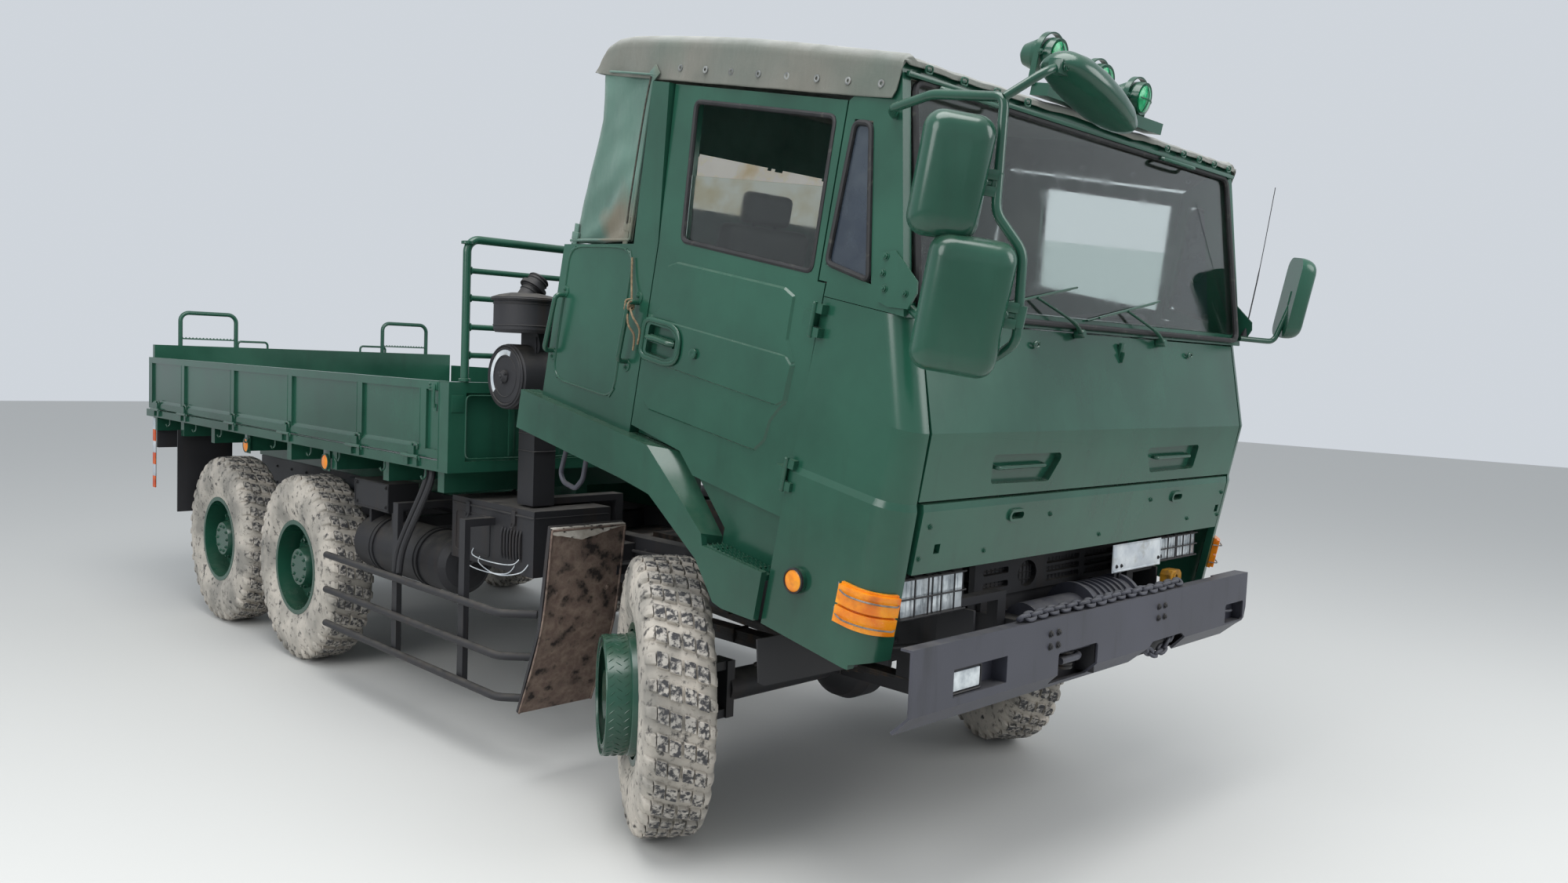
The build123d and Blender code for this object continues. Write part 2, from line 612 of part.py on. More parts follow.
# Fenders over the front wheels, with the steps ahead of them
step_front_y = door_front_y + 1
with BuildPart() as fenders:
    skirt = [
        (990, 1360), (120, 1360), (-250, 1138), (-265, 1100), (step_front_y, 1112), (step_front_y, 940),
        (-415, 921), (-365, 926), (-243, 1041), (15, 1162), (68, 1186), (242, 1194), (990, 1196),
    ]
    add(slab(skirt, side_plane(-1220), 25))
    # the top is flat, its front slope twists from a late bend outside to an early one inside
    # x of the edge, y and z of the bend, y and z of the foot
    for x, bend_y, bend_z, foot_y, foot_z in ((-1220, 120, 1360, -250, 1140), (-1131, 20, 1360, -268, 1128)):
        with BuildSketch(side_plane(x)):
            with BuildLine():
                Polyline(
                    (990, 1360), (bend_y, bend_z), (foot_y, foot_z), (foot_y, foot_z - 34), (bend_y + 8, bend_z - 24),
                    (990, 1338), close=True,
                )
            make_face()
    loft(ruled=True)
    tread = [(step_front_y, 1100), (-265, 1100), (-265, 1080), (step_front_y, 1080)]
    add(slab(tread, side_plane(-1220), 165))
    mirror(about=Plane.YZ)

# Door hinges: barrels outside the skin, the leaf to the corner panel or to the door
door_hinges = [1455.0, 1970.0]
door_hinge_x = cab_half + 32.0
door_hinge_y = door_front_y - panel_gap / 2


def door_hinge(z, long, reach):
    with BuildPart() as piece:
        with Locations((-door_hinge_x, door_hinge_y, z)):
            Cylinder(hinge_radius, long)
        start = door_hinge_y + (panel_gap / 2 if reach > 0 else -panel_gap / 2)
        add(block((-door_hinge_x, start, z - long / 2), (-cab_half + 5, door_hinge_y + reach, z + long / 2)))
    return piece.part


# Corner panels wrap from the door's front edge round to the front face, with a ledge below the ridge
# z, side x, front face y, x where the front face begins
corner_table = [
    (930, 1188, -1060, 1075),
    (1468, 1188, -1053, 1088),
    (1490, 1180, -1046, 1089),
    (1716, 1178, -1044, 1096),
    (2045.7, 1171, -917, 1090),
]
corner_press = [(-636, 1497), (-645, 1952), (-695, 2006), (-820, 1976), (-894, 1797), (-891, 1497)]
with BuildPart() as corner_panels:
    for z, side_x, face_y, edge_x in corner_table:
        bend = side_x - edge_x
        centre_y = face_y + bend
        middle = bend * cos(radians(45))
        inner = (bend - skin) * cos(radians(45))
        with BuildSketch(Plane.XY.offset(z)):
            with BuildLine():
                Line((-side_x, door_front_y - panel_gap), (-side_x, centre_y))
                ThreePointArc((-side_x, centre_y), (-edge_x - middle, centre_y - middle), (-edge_x, face_y))
                Line((-edge_x, face_y), (-edge_x, face_y + skin))
                ThreePointArc((-edge_x, face_y + skin), (-edge_x - inner, centre_y - inner), (skin - side_x, centre_y))
                Line((skin - side_x, centre_y), (skin - side_x, door_front_y - panel_gap))
                Line((skin - side_x, door_front_y - panel_gap), (-side_x, door_front_y - panel_gap))
            make_face()
    loft(ruled=True)
    # the lower edge rises towards the front
    rise = [(-980, 900), (-980, 946), (-1100, 998), (-1100, 900)]
    add(slab(rise, side_plane(-cab_half - 40), 200), mode=Mode.SUBTRACT)
    add(pressing(on_flank(corner_press, 1490), flank_plane(-cab_half - 8.5, 1490, 0.0162), 8, 10))
    with Locations((-1188, -709, 1131)):
        Cylinder(44, 30, rotation=(0, 90, 0))
    for z in door_hinges:
        for end in (-1, 1):
            add(door_hinge(z + end * 38, 30, -34))
    mirror(about=Plane.YZ)

# Upper front panel with its ridge, and the lower panel under it
upper_half = 1084.0
with BuildPart() as front_panel:
    profile = [
        (-918, 2040), (-1045, 1716), (-1049, 1499), (-1049 + skin, 1499), (-1045 + skin, 1710), (-918 + skin, 2040),
    ]
    add(slab(profile, side_plane(-upper_half), 2 * upper_half))
    for pocket in (
        [(-734, 1640), (-303, 1636), (-372, 1535), (-720, 1540)],
        [(293, 1636), (741, 1640), (726, 1540), (362, 1535)],
    ):
        add(slab(pocket, front_plane(-1060), -37, 18), mode=Mode.SUBTRACT)
    for low, high in ((-690, -400), (400, 690)):
        add(rod([(low, -1020, 1592), (low, -1042, 1592), (high, -1042, 1592), (high, -1020, 1592)], 14, 12))
with BuildPart() as lower_panel:
    profile = [
        (-1053, 1490), (-1060, 1468), (-1062, 1262), (-1062 + skin, 1262), (-1060 + skin, 1468), (-1053 + skin, 1490),
    ]
    add(slab(profile, side_plane(-1064), 2 * 1064))
    for x in (-547, 615):
        with BuildSketch(front_plane(-1055)):
            with Locations((x, 1427)):
                SlotOverall(92, 44)
        extrude(amount=14)
        with BuildSketch(front_plane(-1080)):
            with Locations((x, 1427)):
                SlotOverall(72, 24)
        extrude(amount=-40, mode=Mode.SUBTRACT)
    for x, z in ((-959, 1341), (1026, 1349)):
        with Locations((x, -1055, z)):
            Box(30, 50, 32, mode=Mode.SUBTRACT)

# Windscreen frame with the front pillars and the quarter windows
frame_top = roof_z - 6.2
screen_low = (-918.0, 2046.0)
screen_high = (-700.0, 2745.0)
lean = degrees(atan2(frame_lean, frame_height + 150))
upper_side = Plane(
    origin=(-cab_half, 0, belt_z), x_dir=(0, 1, 0), z_dir=(cos(radians(lean)), 0, -sin(radians(lean)))
)
with BuildPart() as windscreen_frame:
    pillar = [
        (-581, -40), (-581, 6), (-545, 6), (-512, frame_height), (-690, frame_top - belt_z), (-905, 0), (-918, -40),
    ]
    add(slab(pillar, upper_side, 40))
    quarter = [(-560, 58), (-552, 517), (-630, 517), (-765, 30)]
    with BuildSketch(upper_side.offset(-10)):
        with BuildLine():
            Polyline(*quarter, close=True)
        make_face()
    extrude(amount=60, mode=Mode.SUBTRACT)
    mirror(about=Plane.YZ)
    header = [(-705, 2745), (-690, frame_top), (-640, frame_top), (-655, 2745)]
    add(slab(header, side_plane(-1130), 2260))
    foot = [(-918, 2046), (-905, 2090), (-865, 2090), (-878, 2046)]
    add(slab(foot, side_plane(-1165), 2330))

screen_plane = Plane(
    origin=(0, -911, 2068), x_dir=(1, 0, 0),
    z_dir=(0, -(screen_high[1] - screen_low[1]), screen_high[0] - screen_low[0]),
)
with BuildPart() as cab_glass:
    glass = [(-1126, 25), (-1097, 707), (1097, 707), (1126, 25)]
    add(slab(glass, screen_plane, -6))

# Doors: pressed lower slab with the window frame above it; the outlines run (y, z) in the level cab
door_press = [
    (217, 2014), (165, 2037), (-403, 2045), (-455, 2025), (-458, 1880), (-503, 1815), (-500, 1672), (-478, 1650),
    (-445, 1598), (-434, 1527), (-392, 1480), (200, 1473), (244, 1500), (266, 1645), (262, 1819), (222, 1864),
    (228, 1943),
]
door_band = [(287, 1822), (-470, 1836), (-508, 1805), (-502, 1675), (-465, 1649), (287, 1645)]
handle_bezel = [(285, 1807), (120, 1811), (66, 1778), (65, 1684), (129, 1662), (285, 1663)]
handle_pocket = [(250, 1790), (130, 1792), (90, 1765), (90, 1700), (135, 1680), (255, 1682)]
with BuildPart() as door_right:
    lower = [
        (door_rear_y, 1392), (-10, 1372), (-100, 1306), (door_front_y, 1300), (door_front_y, belt_z),
        (door_rear_y, belt_z),
    ]
    add(slab(lower, side_plane(-cab_half), door_thick))
    upper = [(door_rear_y, 0), (365, frame_height), (-506, frame_height), (-539, 0)]
    add(slab(upper, upper_side, 38))
    opening = [(163, 25), (232, 519), (-467, 519), (-505, 25)]
    with BuildSketch(upper_side.offset(-10)):
        with BuildLine():
            Polyline(*opening, close=True)
        make_face()
    extrude(amount=60, mode=Mode.SUBTRACT)
    add(pressing(on_flank(door_press), flank_plane(-cab_half), 7, 8))
    add(pressing(on_flank(door_band), flank_plane(-cab_half), 12, 10))
    add(pressing(on_flank(handle_bezel), flank_plane(-cab_half - 8), 9, 8))
    add(slab(on_flank(handle_pocket), flank_plane(-cab_half - 20), -30, 12), mode=Mode.SUBTRACT)
    add(block((-cab_half - 15, 106, 1726), (-cab_half - 4, 240, 1754)))
    add(block((-cab_half - 8, 210, 1731), (-cab_half + 14, 238, 1749)))
    with Locations((-cab_half - 10, -18, 1735)):
        Cylinder(15, 20, rotation=(0, 90, 0))
    for z in door_hinges:
        add(door_hinge(z, 45.4, 44))
with BuildPart() as door_left:
    mirror(door_right.part, about=Plane.YZ)
with BuildPart() as door_glass_right:
    pane = [(162, 25.3), (195, 260), (-483, 300), (-504, 25.3)]
    add(slab(pane, upper_side.offset(14), 6))
with BuildPart() as door_glass_left:
    mirror(door_glass_right.part, about=Plane.YZ)

# Canvas roof and rear quarters over the cab
canvas = 12.0
with BuildPart() as canopy:
    hood = [
        (-695, 2672), (-695, 2818), (0, 2840), (700, 2826), (822, 2790), (872, 2660), (834, 2500), (888, 2170),
        (cab_rear_y, 2000 + seat_gap), (478, 2062 + seat_gap), (478, 2672),
    ]
    add(slab(hood, side_plane(-1158), 2316))
    long_top = [edge for edge in canopy.edges().filter_by(GeomType.LINE) if abs(edge.center().X) > 1150]
    fillet([edge for edge in long_top if edge.center().Z > 2815 and edge.length > 600], 30)
    inside = [
        (-720, 2600), (-720, 2818 - canvas), (0, 2840 - canvas), (695, 2826 - canvas), (812, 2782), (859, 2660),
        (821, 2500), (875, 2170), (cab_rear_y - 13, 1900), (478 + canvas, 1900), (478 + canvas, 2600),
    ]
    with BuildSketch(side_plane(-1146)):
        with BuildLine():
            Polyline(*inside, close=True)
        make_face()
    extrude(amount=2292, mode=Mode.SUBTRACT)

# Dashboard, steering wheel and seats
with BuildPart() as dashboard:
    add(slab([(-949.2, 1880), (-895.3, 2020), (-700, 1990), (-680, 1830)], side_plane(-1080), 2160))
with BuildPart() as steering_wheel:
    with Locations(Location((450, -560, 2030), (-20, 0, 0))):
        Torus(230, 16)
        Box(440, 30, 14)
        Cylinder(45, 30)
    add(rod([(450, -560, 2025), (450, -683.8, 1954.5)], 60, 0))
with BuildPart() as seats:
    for x in (-620, 0, 560):
        add(block((x - 230, -180, 1560), (x + 230, 330, 1680)))
        add(block((x - 220, 260, 1680), (x + 220, 370, 2200)))
        add(block((x - 120, 290, 2200), (x + 120, 370, 2330)))
        add(block((x - 180, -120, floor_z + floor_thick + seat_gap), (x + 180, 280, 1560)))

# Amber indicators on the slanted corners
lens_middle = (-1078.4, -948.6)
lens_inner = 109.9


def corner_lens(low, high, outer):
    """One lens bent round the cab's corner between two heights."""
    middle_x, middle_y = lens_middle

    def spot(angle, radius):
        return (middle_x - radius * cos(radians(angle)), middle_y - radius * sin(radians(angle)))

    with BuildPart() as piece:
        with BuildSketch(Plane.XY.offset(low)):
            with BuildLine():
                Line((middle_x - lens_inner, -905), (middle_x - outer, -905))
                Line((middle_x - outer, -905), spot(0, outer))
                ThreePointArc(spot(0, outer), spot(38, outer), spot(76, outer))
                Line(spot(76, outer), spot(76, lens_inner))
                ThreePointArc(spot(76, lens_inner), spot(38, lens_inner), spot(0, lens_inner))
                Line(spot(0, lens_inner), (middle_x - lens_inner, -905))
            make_face()
        extrude(amount=high - low)
    return piece.part


with BuildPart() as indicators:
    add(corner_lens(1066, 1202, lens_inner + 12))
    add(corner_lens(1072, 1126, lens_inner + 25))
    add(corner_lens(1134, 1196, lens_inner + 25))
    mirror(about=Plane.YZ)

# Mirrors on tube stays from the windscreen pillars: two on the right, one on the left, and a
# teardrop shell that looks down on the front
right_stay = [
    (-1153.6, -715, 2630), (-1195, -735, 2640), (-1250, -930, 2685), (-1275, -1195, 2690), (-1285, -1250, 2390),
    (-1222, -1320, 2300), (-1220, -1360, 2060), (-1205, -1240, 1960), (-1145, -920, 2072),
]
# centre, its place on the stay, width, height, depth of the shell, turn about Z
mirror_table = [
    ((-1375, -1149, 2463), (-1281, -1225, 2463), 190, 330, 52, -46),
    ((-1328, -1240, 2130), (-1221, -1348, 2130), 235, 370, 60, -46),
    ((1352, -1012, 2290), (1330, -1030, 2290), 190, 350, 52, 40),
]
# distance along the teardrop from its tip, half width, half height
teardrop_table = [(0, 10, 8), (80, 42, 32), (200, 78, 60), (330, 96, 74), (415, 92, 66)]
with BuildPart() as mirrors:
    add(rod(right_stay, 28, 30))
    for centre, clamp, width, height, depth, turn in mirror_table:
        facing = Location(centre, (0, 0, turn)) * Location((0, 0, 0), (90, 0, 0))
        with BuildSketch(Plane(facing)):
            RectangleRounded(width, height, 50)
        extrude(amount=-16)
        with BuildSketch(Plane(facing)):
            RectangleRounded(width, height, 50)
        extrude(amount=depth, taper=25)
        add(rod([(centre[0], centre[1], clamp[2]), clamp], 34, 0))
    add(rod([(-1275, -1195, 2690), (-1215, -1262, 2770), (-1150, -1256, 2796)], 24, 18))
    slope = Location((-745, -1250, 2690), (0, 0, 0)) * Location((0, 0, 0), (0, -90 + 16, 0))
    for distance, half_width, half_height in teardrop_table:
        with BuildSketch(Plane(slope).offset(distance)):
            SlotOverall(2 * half_width, 2 * half_height, rotation=90)
    loft(ruled=True)
    add(rod([(1150, -919, 2080), (1290, -1010, 2090), (1330, -1030, 2290)], 24, 30))

# Lamp bar on the header: three bullet lamps hung in strap arches
lamp_outline = [(-10, 0), (-10, 50), (-14, 60), (14, 62), (70, 56), (118, 38), (138, 12), (138, 0)]
# x and z of the lens, how far the pod leans to the side in degrees
lamp_table = [(-365, 2962, 3), (-43, 2940, -2), (253, 2932, 4)]
lamp_front_y = -700.0
with BuildPart() as light_bar:
    add(block((-430, -745, roof_z + 7.5), (380, -672, roof_z + 50)))
    for x, z, turn in lamp_table:
        add(turned(lamp_outline).moved(Location((x, lamp_front_y, z), (0, 0, 90 + turn))))
        with BuildSketch(front_plane(lamp_front_y + 16)):
            with Locations((x, z)):
                Circle(80)
                Circle(75, mode=Mode.SUBTRACT)
            with Locations((x, z - 60)):
                Rectangle(170, 120, mode=Mode.SUBTRACT)
            for side in (-1, 1):
                with Locations((x + side * 77.5, (z + 1 + roof_z + 40) / 2)):
                    Rectangle(5, z + 1 - roof_z - 40)
        extrude(amount=-22)
        with Locations((x, lamp_front_y + 27, z)):
            Cylinder(7, 156, rotation=(0, 90, 0))

# Grab handles and rails on the cab
with BuildPart() as grab_handles:
    for side in (-1, 1):
        x = side * (cab_half + seat_gap)
        reach = side * (cab_half + 45)
        add(rod([(x, 840, 1790), (reach, 840, 1790), (reach, 870, 1555), (x, 870, 1555)], 20, 20))
        add(rod([(x, 360, 1850), (reach, 360, 1850), (reach, 375, 1620), (x, 375, 1620)], 20, 20))

# Knuckles, steered about the kingpins, and the tie rod between their arms
arm_length = 240.0
arm_inset = 60.0
hub_inner = 875.0
with BuildPart() as knuckle_right:
    with Locations((-kingpin_x, front_axle_y, tyre_radius)):
        Cylinder(38, yoke_gap - 2 * seat_gap)
    add(rod([(-kingpin_x, front_axle_y, tyre_radius), (-kingpin_x - spindle_length, front_axle_y, tyre_radius)],
            70, 0))
    add(block((-kingpin_x - 25, front_axle_y + 20, tyre_radius - 50),
              (-kingpin_x + 25, front_axle_y + arm_length + 25, tyre_radius - 20)))
with BuildPart() as knuckle_left:
    mirror(knuckle_right.part, about=Plane.YZ)
tie_z = tyre_radius - 50 - 18
with BuildPart() as tie_rod:
    add(rod([(-kingpin_x, front_axle_y + arm_length, tie_z - seat_gap),
             (kingpin_x, front_axle_y + arm_length, tie_z - seat_gap)], 33, 0))
    for side in (-1, 1):
        with Locations((side * kingpin_x, front_axle_y + arm_length, tie_z - seat_gap)):
            Cylinder(24, 36)

# Wheels are drawn about the X axis with their outer side towards -X
bead = 262.0
tyre_half = tyre_width / 2
tread_half = tread_width / 2
tyre_profile = [
    (-100, bead), (-130, 330), (-tyre_half, 400), (-135, 455), (-118, 518), (-tread_half, tyre_radius),
    (tread_half, tyre_radius), (118, 518), (135, 455), (tyre_half, 400), (130, 330), (100, bead),
]
with BuildPart() as tyre:
    add(turned(tyre_profile))

rim_out = bead - seat_gap
barrel = [
    (-118, 250), (-118, 275), (-107, 275), (-101.5, rim_out), (101.5, rim_out), (107, 275), (118, 275), (118, 250),
]
# The front disc bulges outwards; the rear one is dished towards the axle
front_spindle_end = kingpin_scrub - spindle_length
front_profiles = [
    barrel,
    [(-60, 252), (-75, 252), (-140, 234), (-158, 215), (-158, 0), (-146, 0), (-146, 209), (-133, 222), (-60, 240)],
    [(-225, 0), (-225, 92), (-158, 105), (-158, 0)],
    [
        (-146, 0), (front_spindle_end - seat_gap, 0), (front_spindle_end - seat_gap, 60), (95, 60), (95, 205),
        (10, 205), (0, 120), (-146, 120),
    ],
]
rear_profiles = [
    barrel,
    [(-10, 100), (2, 100), (2, 205), (32, 240), (50, 252), (34, 252), (-10, 212)],
    [
        (-95, 0), (axle_end_gap - seat_gap, 0), (axle_end_gap - seat_gap, 120), (150, 205), (40, 205), (2, 130),
        (-20, 130), (-95, 105),
    ],
]
with BuildPart() as rim_front:
    for profile in front_profiles:
        add(turned(profile))
    with BuildSketch(Plane.YZ.offset(-step_ring_out)):
        Circle(step_ring_radius)
        Circle(step_ring_radius - 5, mode=Mode.SUBTRACT)
    extrude(amount=step_ring_width)
    for angle in (0, 90, 180, 270):
        with Locations(Location((-152, 0, 0), (angle, 0, 0))):
            with Locations((0, step_ring_radius - 32, 0)):
                Box(12, 60, 40)
with BuildPart() as rim_rear:
    for profile in rear_profiles:
        add(turned(profile))

steered_out = kingpin_x + kingpin_scrub
# name, x of the wheel's middle, y of its axle, whether it is steered
wheel_table = [
    ("front_right", -steered_out, front_axle_y, True),
    ("front_left", steered_out, front_axle_y, True),
    ("middle_right", -rear_track_half, first_rear_y, False),
    ("middle_left", rear_track_half, first_rear_y, False),
    ("rear_right", -rear_track_half, rear_second_y, False),
    ("rear_left", rear_track_half, rear_second_y, False),
]
wheels = {}
for name, x, y, steered in wheel_table:
    rim = rim_front if steered else rim_rear
    for kind, source in (("tyre", tyre), ("rim", rim)):
        with BuildPart() as piece:
            add(source.part if x < 0 else source.part.mirror(Plane.YZ))
        piece.part.move(Location((x, y, tyre_radius)))
        wheels[f"{kind}_{name}"] = piece

# Rest pose: the cab's pieces turn about its pivot, the steered pieces about their kingpins
cab_pieces = {
    "cab_floor": cab_floor, "side_panels": side_panels, "rear_wall": rear_wall, "fenders": fenders,
    "corner_panels": corner_panels, "front_panel": front_panel, "lower_panel": lower_panel,
    "windscreen_frame": windscreen_frame, "cab_glass": cab_glass, "canopy": canopy, "dashboard": dashboard,
    "steering_wheel": steering_wheel, "seats": seats, "indicators": indicators, "mirrors": mirrors,
    "light_bar": light_bar, "grab_handles": grab_handles, "door_right": door_right, "door_left": door_left,
    "door_glass_right": door_glass_right, "door_glass_left": door_glass_left,
}
chassis_pieces = {
    "frame_rails": frame_rails, "bumper": bumper, "winch": winch, "winch_chain": winch_chain, "powertrain": powertrain, "radiator": radiator,
    "front_axle": front_axle, "rear_axles": rear_axles, "springs": springs, "tanks": tanks, "exhaust": exhaust,
    "battery_box": battery_box, "side_guards": side_guards, "mudguards": mudguards, "air_intake": air_intake,
    "grille": grille, "headlamps": headlamps, "bed_floor": bed_floor, "bed_bearers": bed_bearers, "bulkhead": bulkhead,
    "rear_lamps": rear_lamps, "side_board_right": side_board_right, "side_board_left": side_board_left,
    "tailgate": tailgate, "tie_rod": tie_rod,
}
cab_turn = Location((0, pivot_y, pivot_z)) * Location((0, 0, 0), (cab_tilt, 0, 0)) * Location((0, -pivot_y, -pivot_z))
for piece in cab_pieces.values():
    piece.part.move(cab_turn)
for side, names in ((-1, ("front_right",)), (1, ("front_left",))):
    turn = (
        Location((side * kingpin_x, front_axle_y, 0))
        * Location((0, 0, 0), (0, 0, -steer_angle))
        * Location((-side * kingpin_x, -front_axle_y, 0))
    )
    knuckle = knuckle_right if side < 0 else knuckle_left
    knuckle.part.move(turn)
    for name in names:
        wheels[f"tyre_{name}"].part.move(turn)
        wheels[f"rim_{name}"].part.move(turn)
tie_rod.part.move(Location((
    arm_length * sin(radians(steer_angle)), -arm_length * (1 - cos(radians(steer_angle))), 0
)))

# The origin is the middle of the whole truck's box, on the ground
pieces = {**chassis_pieces, **cab_pieces, "knuckle_right": knuckle_right, "knuckle_left": knuckle_left, **wheels}
boxes = [piece.part.bounding_box() for piece in pieces.values()]
middle_x = (min(box.min.X for box in boxes) + max(box.max.X for box in boxes)) / 2
middle_y = (min(box.min.Y for box in boxes) + max(box.max.Y for box in boxes)) / 2
print("origin shift", round(middle_x, 3), round(middle_y, 3))
for name, piece in pieces.items():
    piece.part.move(Location((-middle_x, -middle_y, 0)))
    piece.part.label = name
    export_step(piece.part, f"parts/{name}.step")
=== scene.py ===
import bmesh
import bpy
import json
import math
from mathutils import Matrix, Vector, noise

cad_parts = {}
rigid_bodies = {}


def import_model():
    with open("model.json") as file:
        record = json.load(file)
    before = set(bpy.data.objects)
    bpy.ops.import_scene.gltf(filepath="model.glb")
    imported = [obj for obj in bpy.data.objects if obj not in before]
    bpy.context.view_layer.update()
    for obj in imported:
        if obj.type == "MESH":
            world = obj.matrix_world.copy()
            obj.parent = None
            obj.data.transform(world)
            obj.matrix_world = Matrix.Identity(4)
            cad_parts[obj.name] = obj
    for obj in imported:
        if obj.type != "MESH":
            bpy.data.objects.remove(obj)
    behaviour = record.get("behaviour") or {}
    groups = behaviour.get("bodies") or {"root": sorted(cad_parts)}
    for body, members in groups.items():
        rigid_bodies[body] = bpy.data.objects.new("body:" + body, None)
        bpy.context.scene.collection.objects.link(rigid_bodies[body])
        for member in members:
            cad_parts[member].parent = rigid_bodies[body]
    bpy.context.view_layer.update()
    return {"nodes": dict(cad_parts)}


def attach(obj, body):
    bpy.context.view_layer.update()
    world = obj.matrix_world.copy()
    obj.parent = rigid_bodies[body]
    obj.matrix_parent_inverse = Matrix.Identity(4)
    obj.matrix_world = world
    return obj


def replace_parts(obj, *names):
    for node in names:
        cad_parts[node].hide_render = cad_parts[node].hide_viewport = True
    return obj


# Military cargo truck: six wheels, tilted soft-top cab, drop-side bed.
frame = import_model()
nodes = frame["nodes"]
print("frame loaded:", len(nodes), "nodes")

mm = 0.001
shift = Vector((0.010965, -2.095588, 0.0))      # from the truck's own origin to the frame's
tiltAngle = math.radians(11.0)                    # the cab stands tipped forward
tiltPivot = Vector((0.0, -0.8, 1.04)) + shift


def fromTruck(x, y, z):
    # millimetres in the truck's own axes -> metres in the frame
    return Vector((x, y, z)) * mm + shift


def fromCab(x, y, z):
    # millimetres on the level cab -> metres on the tipped cab
    point = fromTruck(x, y, z)
    turn = Matrix.Rotation(tiltAngle, 3, "X")
    return tiltPivot + turn @ (point - tiltPivot)


# Camera, as the photograph was taken: standing at the right front corner
camera = {
    "place": Vector((-3.8883, -5.4348, 1.8622)),
    "yaw": -0.7877,
    "pitch": -0.0698,
    "roll": 0.0406,
    "focalPixels": 1484.24,
    "framePixels": 2000,
    "sensor": 36.0,
}


def placeCamera(c):
    data = bpy.data.cameras.new("camera")
    data.sensor_fit = "HORIZONTAL"
    data.sensor_width = c["sensor"]
    data.lens = c["focalPixels"] / c["framePixels"] * c["sensor"]
    data.clip_end = 200.0
    holder = bpy.data.objects.new("camera", data)
    bpy.context.scene.collection.objects.link(holder)
    turn = (Matrix.Rotation(c["yaw"], 4, "Z") @ Matrix.Rotation(math.pi / 2 + c["pitch"], 4, "X")
            @ Matrix.Rotation(c["roll"], 4, "Z"))
    holder.matrix_world = Matrix.Translation(c["place"]) @ turn
    bpy.context.scene.camera = holder


placeCamera(camera)
print("camera placed")


def deselectAll():
    for thing in bpy.context.view_layer.objects:
        thing.select_set(False)


def colour(hexCode):
    # sRGB hex -> linear, as the shader sockets want it
    parts = [int(hexCode[i:i + 2], 16) / 255 for i in (1, 3, 5)]
    linear = [p / 12.92 if p <= 0.04045 else ((p + 0.055) / 1.055) ** 2.4 for p in parts]
    return (*linear, 1.0)


def addNode(tree, kind, settings):
    # a setting is a node property, or an input by name or number: a value, or a socket to link
    node = tree.nodes.new("ShaderNode" + kind)
    for name, value in settings.items():
        if isinstance(name, str) and hasattr(node, name):
            setattr(node, name, value)
        elif isinstance(value, bpy.types.NodeSocket):
            tree.links.new(value, node.inputs[name])
        else:
            node.inputs[name].default_value = value
    return node


def newMaterial(name):
    material = bpy.data.materials.new(name)
    material.use_nodes = True
    material.node_tree.nodes.clear()
    tree = material.node_tree
    place = addNode(tree, "TexCoord", {}).outputs["Object"]
    return material, tree, place


def speckle(tree, place, size, detail=4.0, stretch=(1, 1, 1), rough=0.55):
    # noise whose grain is about size metres across
    spread = addNode(tree, "Mapping", {"Vector": place, "Scale": stretch}).outputs[0]
    noise = addNode(tree, "TexNoise", {"Vector": spread, "Scale": 1.0 / size, "Detail": detail, "Roughness": rough})
    return noise.outputs[0]


def ramp(tree, value, low, high, toLow=0.0, toHigh=1.0):
    return addNode(tree, "MapRange", {"Value": value, "From Min": low, "From Max": high,
                                      "To Min": toLow, "To Max": toHigh}).outputs[0]


def times(tree, a, b):
    return addNode(tree, "Math", {"operation": "MULTIPLY", 0: a, 1: b}).outputs[0]


def mixColour(tree, factor, a, b):
    return addNode(tree, "Mix", {"data_type": "RGBA", 0: factor, 6: a, 7: b}).outputs[2]


def bumpOf(tree, height, depth, before=None):
    settings = {"Height": height, "Strength": 1.0, "Distance": depth}
    if before is not None:
        settings["Normal"] = before
    return addNode(tree, "Bump", settings).outputs[0]


def finishMaterial(tree, shader):
    addNode(tree, "OutputMaterial", {"Surface": shader.outputs[0]})


def upwards(tree):
    # 1 on faces that look at the sky, 0 on walls
    normal = addNode(tree, "NewGeometry", {}).outputs["Normal"]
    height = addNode(tree, "SeparateXYZ", {"Vector": normal}).outputs[2]
    return ramp(tree, height, 0.25, 0.95)


def sprayedEnamel(name, look):
    # oil enamel over steel, sprayed: gloss with a fine orange peel, dust where it lies flat, thin runs of grime
    material, tree, place = newMaterial(name)
    cloud = speckle(tree, place, look["cloud"], 5.0)
    body = mixColour(tree, ramp(tree, cloud, 0.35, 0.65), colour(look["deep"]), colour(look["pale"]))
    runs = speckle(tree, place, look["runs"], 6.0, (1.0, 1.0, 0.12))
    body = mixColour(tree, ramp(tree, runs, 0.56, 0.78, 0.0, look["grime"]), body, colour(look["soot"]))
    grain = speckle(tree, place, 0.05, 8.0)
    dust = times(tree, upwards(tree), ramp(tree, grain, 0.35, 0.75, 0.25 * look["dust"], look["dust"]))
    body = mixColour(tree, dust, body, colour(look["dirt"]))
    rough = addNode(tree, "Math", {"operation": "ADD", 0: ramp(tree, cloud, 0.3, 0.7, *look["rough"]),
                                   1: times(tree, dust, 0.5)}).outputs[0]
    peel = bumpOf(tree, speckle(tree, place, look["peel"], 2.0), look["peelDepth"])
    shader = addNode(tree, "BsdfPrincipled", {"Base Color": body, "Roughness": rough, "Normal": peel,
                                              "Metallic": 0.0, "IOR": look["ior"]})
    finishMaterial(tree, shader)
    return material


